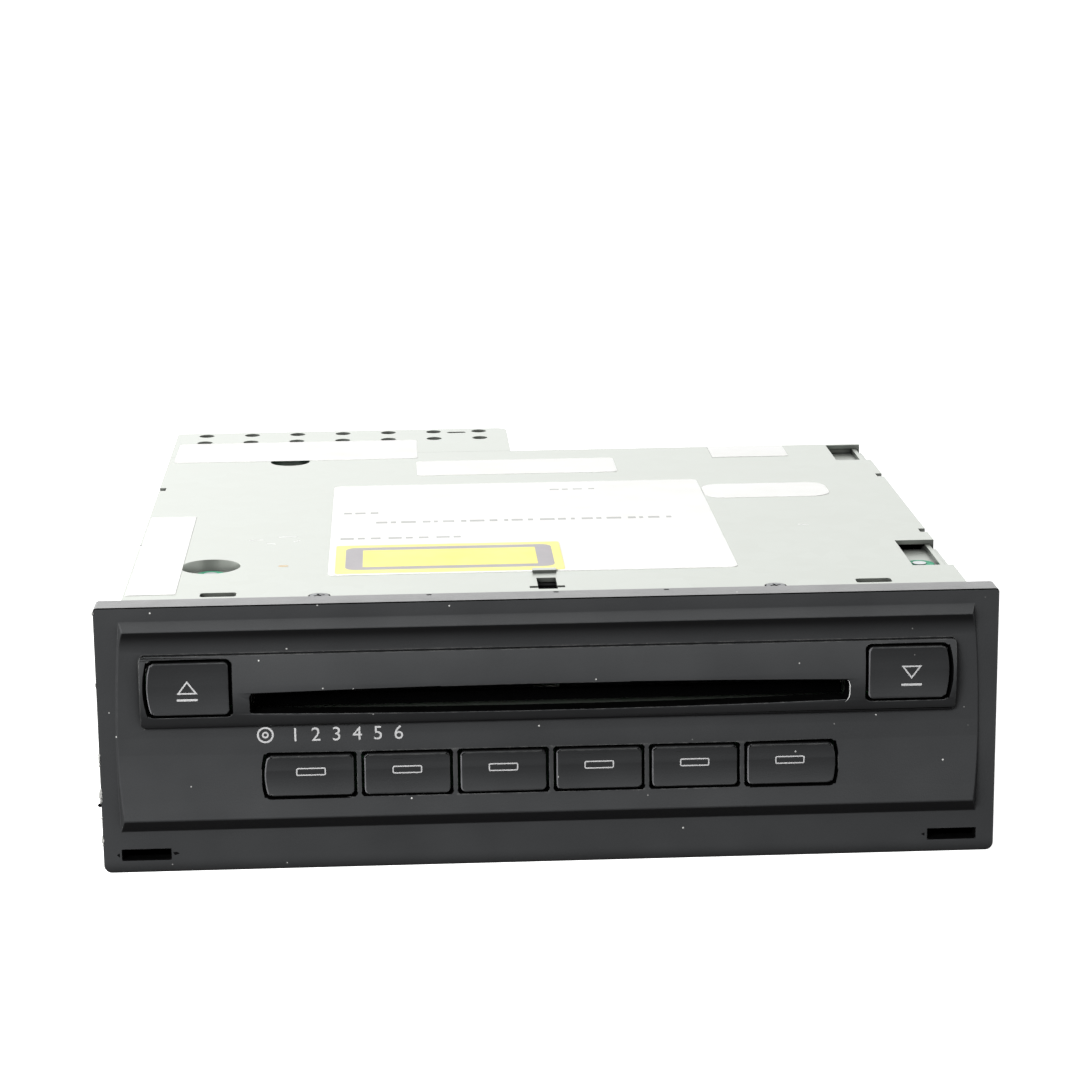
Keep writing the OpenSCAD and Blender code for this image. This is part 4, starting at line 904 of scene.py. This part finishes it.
# %% Bars on the disc keys
KEY_PITCH = 20.07
KEY_X0 = -50.13
BAR_Z = 21.55
for k in range(6):
    key = keys[f"disc_button_{k + 1}"]
    x = KEY_X0 + k * KEY_PITCH
    ring = flat_shape([bar_loop(x, BAR_Z, 6.2, 1.72, 0.42), bar_loop(x, BAR_Z, 5.66, 1.18, 0.18)])
    lay_on(ring, [key])
    finish_piece(ring, f"bar_print_{k + 1}", f"disc_button_{k + 1}", symbol_ink)
print("bars on", k + 1, "keys")

# %% Eject and load signs
SIGN_TALL, SIGN_HALF = 2.88, 2.17     # outline of the triangle
IN_BASE, IN_TIP, IN_HALF = 0.33, 0.53, 1.52


def triangle(cx, base_z, tip_z, half):
    """A triangle on a level base, with its tip above or below it."""
    return [(cx - half, base_z), (cx + half, base_z), (cx, tip_z)]


def way_sign(name, node, cx, base_z, way, bar_z):
    """A hollow triangle that points up (way 1) or down (way -1), and a bar under it."""
    tip_z = base_z + way * SIGN_TALL
    arrow = flat_shape([triangle(cx, base_z, tip_z, SIGN_HALF),
                        triangle(cx, base_z + way * IN_BASE, tip_z - way * IN_TIP, IN_HALF)])
    sign = joined([arrow, flat_shape([bar_loop(cx, bar_z, 4.3, 0.46, 0.1)])])
    lay_on(sign, [keys[node]])
    finish_piece(sign, name, node, symbol_ink)


way_sign("eject_print", "eject_button", -75.15, 39.07, 1, 37.85)
way_sign("load_print", "load_button", 75.55, 41.6, -1, 37.5)
print("eject and load signs printed")

# %% [markdown]
# Under the slot the real face carries a printed title. Its place is kept with signs
# that only say what the keys are for: a small disc, then the numbers of the six
# trays, in the same ink and at the same height.

# %% Disc sign and tray numbers
TITLE_Z = 29.55
DISC_X = -59.4
DIGIT_X0, DIGIT_PITCH = -53.2, 4.3
DIGIT_TALL = 4.2                      # type size; the figures themselves are 3 mm tall


def circle_loop(cx, cz, r):
    """A closed circle of 40 points."""
    angles = [2 * math.pi * i / 40 for i in range(40)]
    return [(cx + r * math.cos(a), cz + r * math.sin(a)) for a in angles]


rings = [flat_shape([circle_loop(DISC_X, TITLE_Z, outside), circle_loop(DISC_X, TITLE_Z, inside)])
         for outside, inside in ((1.75, 1.35), (0.72, 0.36))]
disc_sign = joined(rings)
lay_on(disc_sign, [bezel])
finish_piece(disc_sign, "disc_sign_print", "chassis", symbol_ink)
for k in range(6):
    alone()
    bpy.ops.object.text_add()
    digit = bpy.context.object
    digit.data.body = str(k + 1)
    digit.data.size = DIGIT_TALL * MM
    digit.data.align_x = "CENTER"
    digit.rotation_euler = (math.radians(90), 0, 0)
    digit.location = at(DIGIT_X0 + k * DIGIT_PITCH, 0, TITLE_Z - 1.5)
    bpy.ops.object.convert(target="MESH")
    digit = settle_origin(bpy.context.object)
    lay_on(digit, [bezel])
    finish_piece(digit, f"tray_number_{k + 1}", "chassis", symbol_ink)
print("title place filled")

# %% [markdown]
# The object has been fitted and pulled out a few times. A removal tool has chewed
# the ends of its two slots, whose enlarged openings are painted black as shade, and the
# left edge of the face carries burrs. The right end of the disc slot gets a bright
# crescent painted as a highlight on its rim. Three small moulding marks sit on top of
# the rim, and short white strips on the lid are painted highlights of its low ridges.

# %% Finishes of the marks
torn_plastic = plain_finish("torn_abs_burr", "#9d9d9b", "#dcdcd8", 0.2, 0.03, 0.6)
dark_mark = plain_finish("dark_moulding_mark_and_hole_shade", "#070707", "#101011", 0.2, 0.01, 0.7)
dull(dark_mark)
# Painted highlights: this near-white is laid where the slot rim and the lid's ridges catch the
# light.
white_highlight_paint = plain_finish("white_highlight_paint", "#e9e9e6", "#ffffff", 0.2, 0.01, 0.35)
orange_spot_finish = plain_finish("orange_lid_spot", "#cdb48a", "#d9c6a2", 0.4, 0.02, 0.45)
chance = random.Random(7)


def burr(x, y, z, wide, deep, tall, material, name):
    """A torn flake: a low sphere with jittered points, sunk into the edge."""
    alone()
    bpy.ops.mesh.primitive_ico_sphere_add(subdivisions=3, radius=0.5)
    flake = bpy.context.object
    for point in flake.data.vertices:
        point.co *= 1 + chance.uniform(-0.35, 0.35)
    flake.scale = (wide * MM, deep * MM, tall * MM)
    flake.location = at(x, y, z)
    settle_origin(flake)
    flake.name = name
    dress(flake, material)
    return flake


EDGE_X = face_low.x + 0.02
burrs = [burr(EDGE_X, 0.1, z, wide, 0.5, tall, torn_plastic, "burr")
         for z, wide, tall in ((25.2, 0.5, 1.9), (23.6, 0.35, 0.7), (17.4, 0.75, 2.4),
                               (15.9, 0.6, 1.1), (12.2, 0.4, 0.5), (7.3, 0.5, 1.7),
                               (6.3, 0.35, 0.6), (41.0, 0.3, 0.9), (56.3, 0.5, 0.7))]
finish_piece(joined(burrs), "edge_burrs", "chassis", torn_plastic)
finish_piece(burr(EDGE_X - 0.3, 0.3, 14.9, 0.9, 0.5, 0.7, dark_mark, "burr"),
             "edge_burr_dark", "chassis", dark_mark)
print("burrs:", len(burrs) + 1)

# %% Painted highlight at the right end of the disc slot
# Painted highlight: a white crescent on the rim of the slot's right end.
END_R = 2.1                           # radius of the slot's rounded end
FLAT_END = 0.8                        # half of the straight stretch between the two arcs
GLINT_R = END_R + 0.26               # the highlight lies on the rounded rim of the slot
THIN_TIP, THICK_MIDDLE = 0.015, 0.055
middle = [(SLOT_END_X - END_R, SLOT_MID_Z + side * FLAT_END, angle)
          for side, span in ((-1, range(-52, 1, 6)), (1, range(0, 41, 6))) for angle in span]
outer, inner = [], []
for k, (cx, cz, angle) in enumerate(middle):
    half = THIN_TIP + THICK_MIDDLE * math.sin(math.pi * k / (len(middle) - 1))
    c, s = math.cos(math.radians(angle)), math.sin(math.radians(angle))
    outer.append((cx + (GLINT_R + half) * c, cz + (GLINT_R + half) * s))
    inner.append((cx + (GLINT_R - half) * c, cz + (GLINT_R - half) * s))
rim_glint = flat_shape([outer + inner[::-1]])
lay_on(rim_glint, [bezel], INK_FILM)
finish_piece(rim_glint, "slot_end_highlight", "chassis", white_highlight_paint)

# %% Painted shade in the chewed slot ends, and rim marks
torn_ends = [
    [(-90.05, 4.75), (-90.8, 4.2), (-91.2, 3.95), (-90.75, 3.5), (-90.05, 3.05)],
    [(-79.95, 4.45), (-79.3, 4.3), (-78.7, 4.35), (-78.1, 4.0), (-78.9, 3.7), (-79.95, 3.5)],
    [(79.95, 4.4), (79.1, 4.2), (78.5, 3.95), (79.1, 3.6), (79.95, 3.45)]]
# Painted shade: the enlarged openings of the chewed ends are flat near-black shapes on the face.
torn = joined([flat_shape([loop]) for loop in torn_ends])
lay_on(torn, [bezel], INK_FILM)
finish_piece(torn, "torn_slot_end_shade", "chassis", dark_mark)

rim_marks = [slab(x - 0.55, x + 0.55, 5.0, 5.7, face_high.z, 0.3, INK_FILM)
             for x in (-24.8, 1.7, 24.8)]
finish_piece(joined(rim_marks), "rim_marks", "chassis", dark_mark)
print("crescent, slot ends and rim marks ready")

# %% Painted ridge highlights and one spot on the lid
MARK_T = 0.015
# Painted highlights: thin white strips where low ridges of the lid catch the light.
ridge_glints = [slab(x - length / 2, x + length / 2, y, y + 0.35, LID_Z, 0, MARK_T, turn)
             for x, y, length, turn in ((-63.0, 62.0, 3.2, 8), (-59.5, 58.0, 2.0, -20),
                                        (-56.0, 64.5, 4.1, 4), (-53.8, 60.2, 1.6, 30),
                                        (62.0, 66.0, 2.4, -12))]
finish_piece(joined(ridge_glints), "lid_ridge_highlights", "chassis", white_highlight_paint)
# An orange-beige spot on the lid.
finish_piece(slab(-57.2, -55.0, 36.4, 37.8, LID_Z, 0.6, MARK_T), "lid_spot", "chassis",
             orange_spot_finish)
print("wear ready")

# %% [markdown]
# The floor is a plain sheet. The camera sees it as white paper that still keeps the
# object's contact shadow. In front of the object, light that bounces off it is greyer,
# as it would be with dark cloth on the near side of the table. That is what lets every
# surface of the black face that looks down go darker than the ones that look up.

# %% Floor
alone()
bpy.ops.mesh.primitive_plane_add(size=8.0, location=(0, 0, 0))
floor = bpy.context.object
floor.name = "floor"
paper = bpy.data.materials.new("white_paper_floor")
paper.use_nodes = True
tree = paper.node_tree
tree.nodes.clear()
FLOOR_GLOW = 0.86
rays = add(tree, "ShaderNodeLightPath")
matt = add(tree, "ShaderNodeBsdfDiffuse", {"Color": linear("#f4f4f4")})
dim = add(tree, "ShaderNodeBsdfDiffuse", {"Color": linear("#5c5c5e")})
glow = add(tree, "ShaderNodeEmission", {"Color": linear("#ffffff"), "Strength": FLOOR_GLOW})
seen = add(tree, "ShaderNodeAddShader", {0: matt.outputs[0], 1: glow.outputs[0]})
spot = add(tree, "ShaderNodeSeparateXYZ", {
    "Vector": add(tree, "ShaderNodeNewGeometry").outputs["Position"]})
white_here = maths(tree, "MAXIMUM", rays.outputs["Is Camera Ray"],
                   spread(tree, spot.outputs["Y"], -0.08, -0.04))
both = add(tree, "ShaderNodeMixShader", {0: white_here,
                                         1: dim.outputs[0], 2: seen.outputs[0]})
add(tree, "ShaderNodeOutputMaterial", {"Surface": both.outputs[0]})
floor.data.materials.append(paper)
print("floor", floor.dimensions[:])

# %% [markdown]
# The world is plain white where the camera looks at it. For reflections it is bright
# behind the object and at its sides and dim straight in front, so the lid mirrors a
# bright wall and the black face mirrors a dark room. As a source of light it is a soft
# grey, lighter behind.

# %% World
SKY_IN_FRONT = 0.22
SKY_BEHIND = 0.5
WALL_BEHIND = 1.8
WALL_BESIDE = 0.9
ROOM_IN_FRONT = 0.25
world = bpy.data.worlds.new("studio")
bpy.context.scene.world = world
world.use_nodes = True
tree = world.node_tree
tree.nodes.clear()
rays = add(tree, "ShaderNodeLightPath")
way = add(tree, "ShaderNodeSeparateXYZ", {
    "Vector": add(tree, "ShaderNodeTexCoord").outputs["Generated"]})
mirror = maths(tree, "MULTIPLY",
               spread(tree, way.outputs["Y"], -0.35, 0.45, ROOM_IN_FRONT, WALL_BEHIND),
               spread(tree, way.outputs["X"], -0.2, 0.15, 1.3, 0.98))
beside = spread(tree, maths(tree, "ABSOLUTE", way.outputs["X"], 0.0), 0.35, 0.7, 0.0, WALL_BESIDE)
mirror = maths(tree, "MAXIMUM", mirror, beside)
sky_light = spread(tree, way.outputs["Y"], -0.2, 0.4, SKY_IN_FRONT, SKY_BEHIND)
shiny = maths(tree, "MAXIMUM", rays.outputs["Is Glossy Ray"],
              rays.outputs["Is Transmission Ray"])
indirect = maths(tree, "ADD", maths(tree, "MULTIPLY", shiny, mirror),
                 maths(tree, "MULTIPLY", maths(tree, "SUBTRACT", 1.0, shiny), sky_light))
camera_part = rays.outputs["Is Camera Ray"]
strength = maths(tree, "ADD", camera_part,
                 maths(tree, "MULTIPLY", maths(tree, "SUBTRACT", 1.0, camera_part), indirect))
sky = add(tree, "ShaderNodeBackground", {"Color": linear("#ffffff"), "Strength": strength})
add(tree, "ShaderNodeOutputWorld", {"Surface": sky.outputs[0]})
print("sky light", SKY_IN_FRONT, SKY_BEHIND)

# %% [markdown]
# Three soft panels. The first stands in front at the left, so the left end of the face
# comes out a little brighter than the right, and a small one close to that end helps
# with it. Neither shows in a reflection: on black plastic it would lie as a pale patch.
# The last hangs over the lid and is weak.

# %% Panels
def panel(name, place, aim, width, height, watts, mirrored=True):
    """A soft box that looks at a point."""
    lamp = bpy.data.lights.new(name, "AREA")
    lamp.shape = "RECTANGLE"
    lamp.size, lamp.size_y, lamp.energy = width, height, watts
    lamp_object = bpy.data.objects.new(name, lamp)
    lamp_object.location = place
    lamp_object.rotation_euler = (Vector(aim) - Vector(place)).to_track_quat("-Z", "Y").to_euler()
    lamp_object.visible_glossy = mirrored
    bpy.context.scene.collection.objects.link(lamp_object)
    return lamp_object


panel("front_panel", (-0.7, -1.08, 0.73), (0, -0.09, 0.03), 0.7, 0.5, 25, False)
panel("left_panel", (-0.5, -0.45, 0.26), (-0.09, -0.09, 0.03), 0.3, 0.3, 1.2, False)
panel("overhead_panel", (0.0, 0.45, 1.2), (0, 0, 0), 1.6, 0.9, 1.5)
bpy.context.scene.view_settings.view_transform = "Standard"
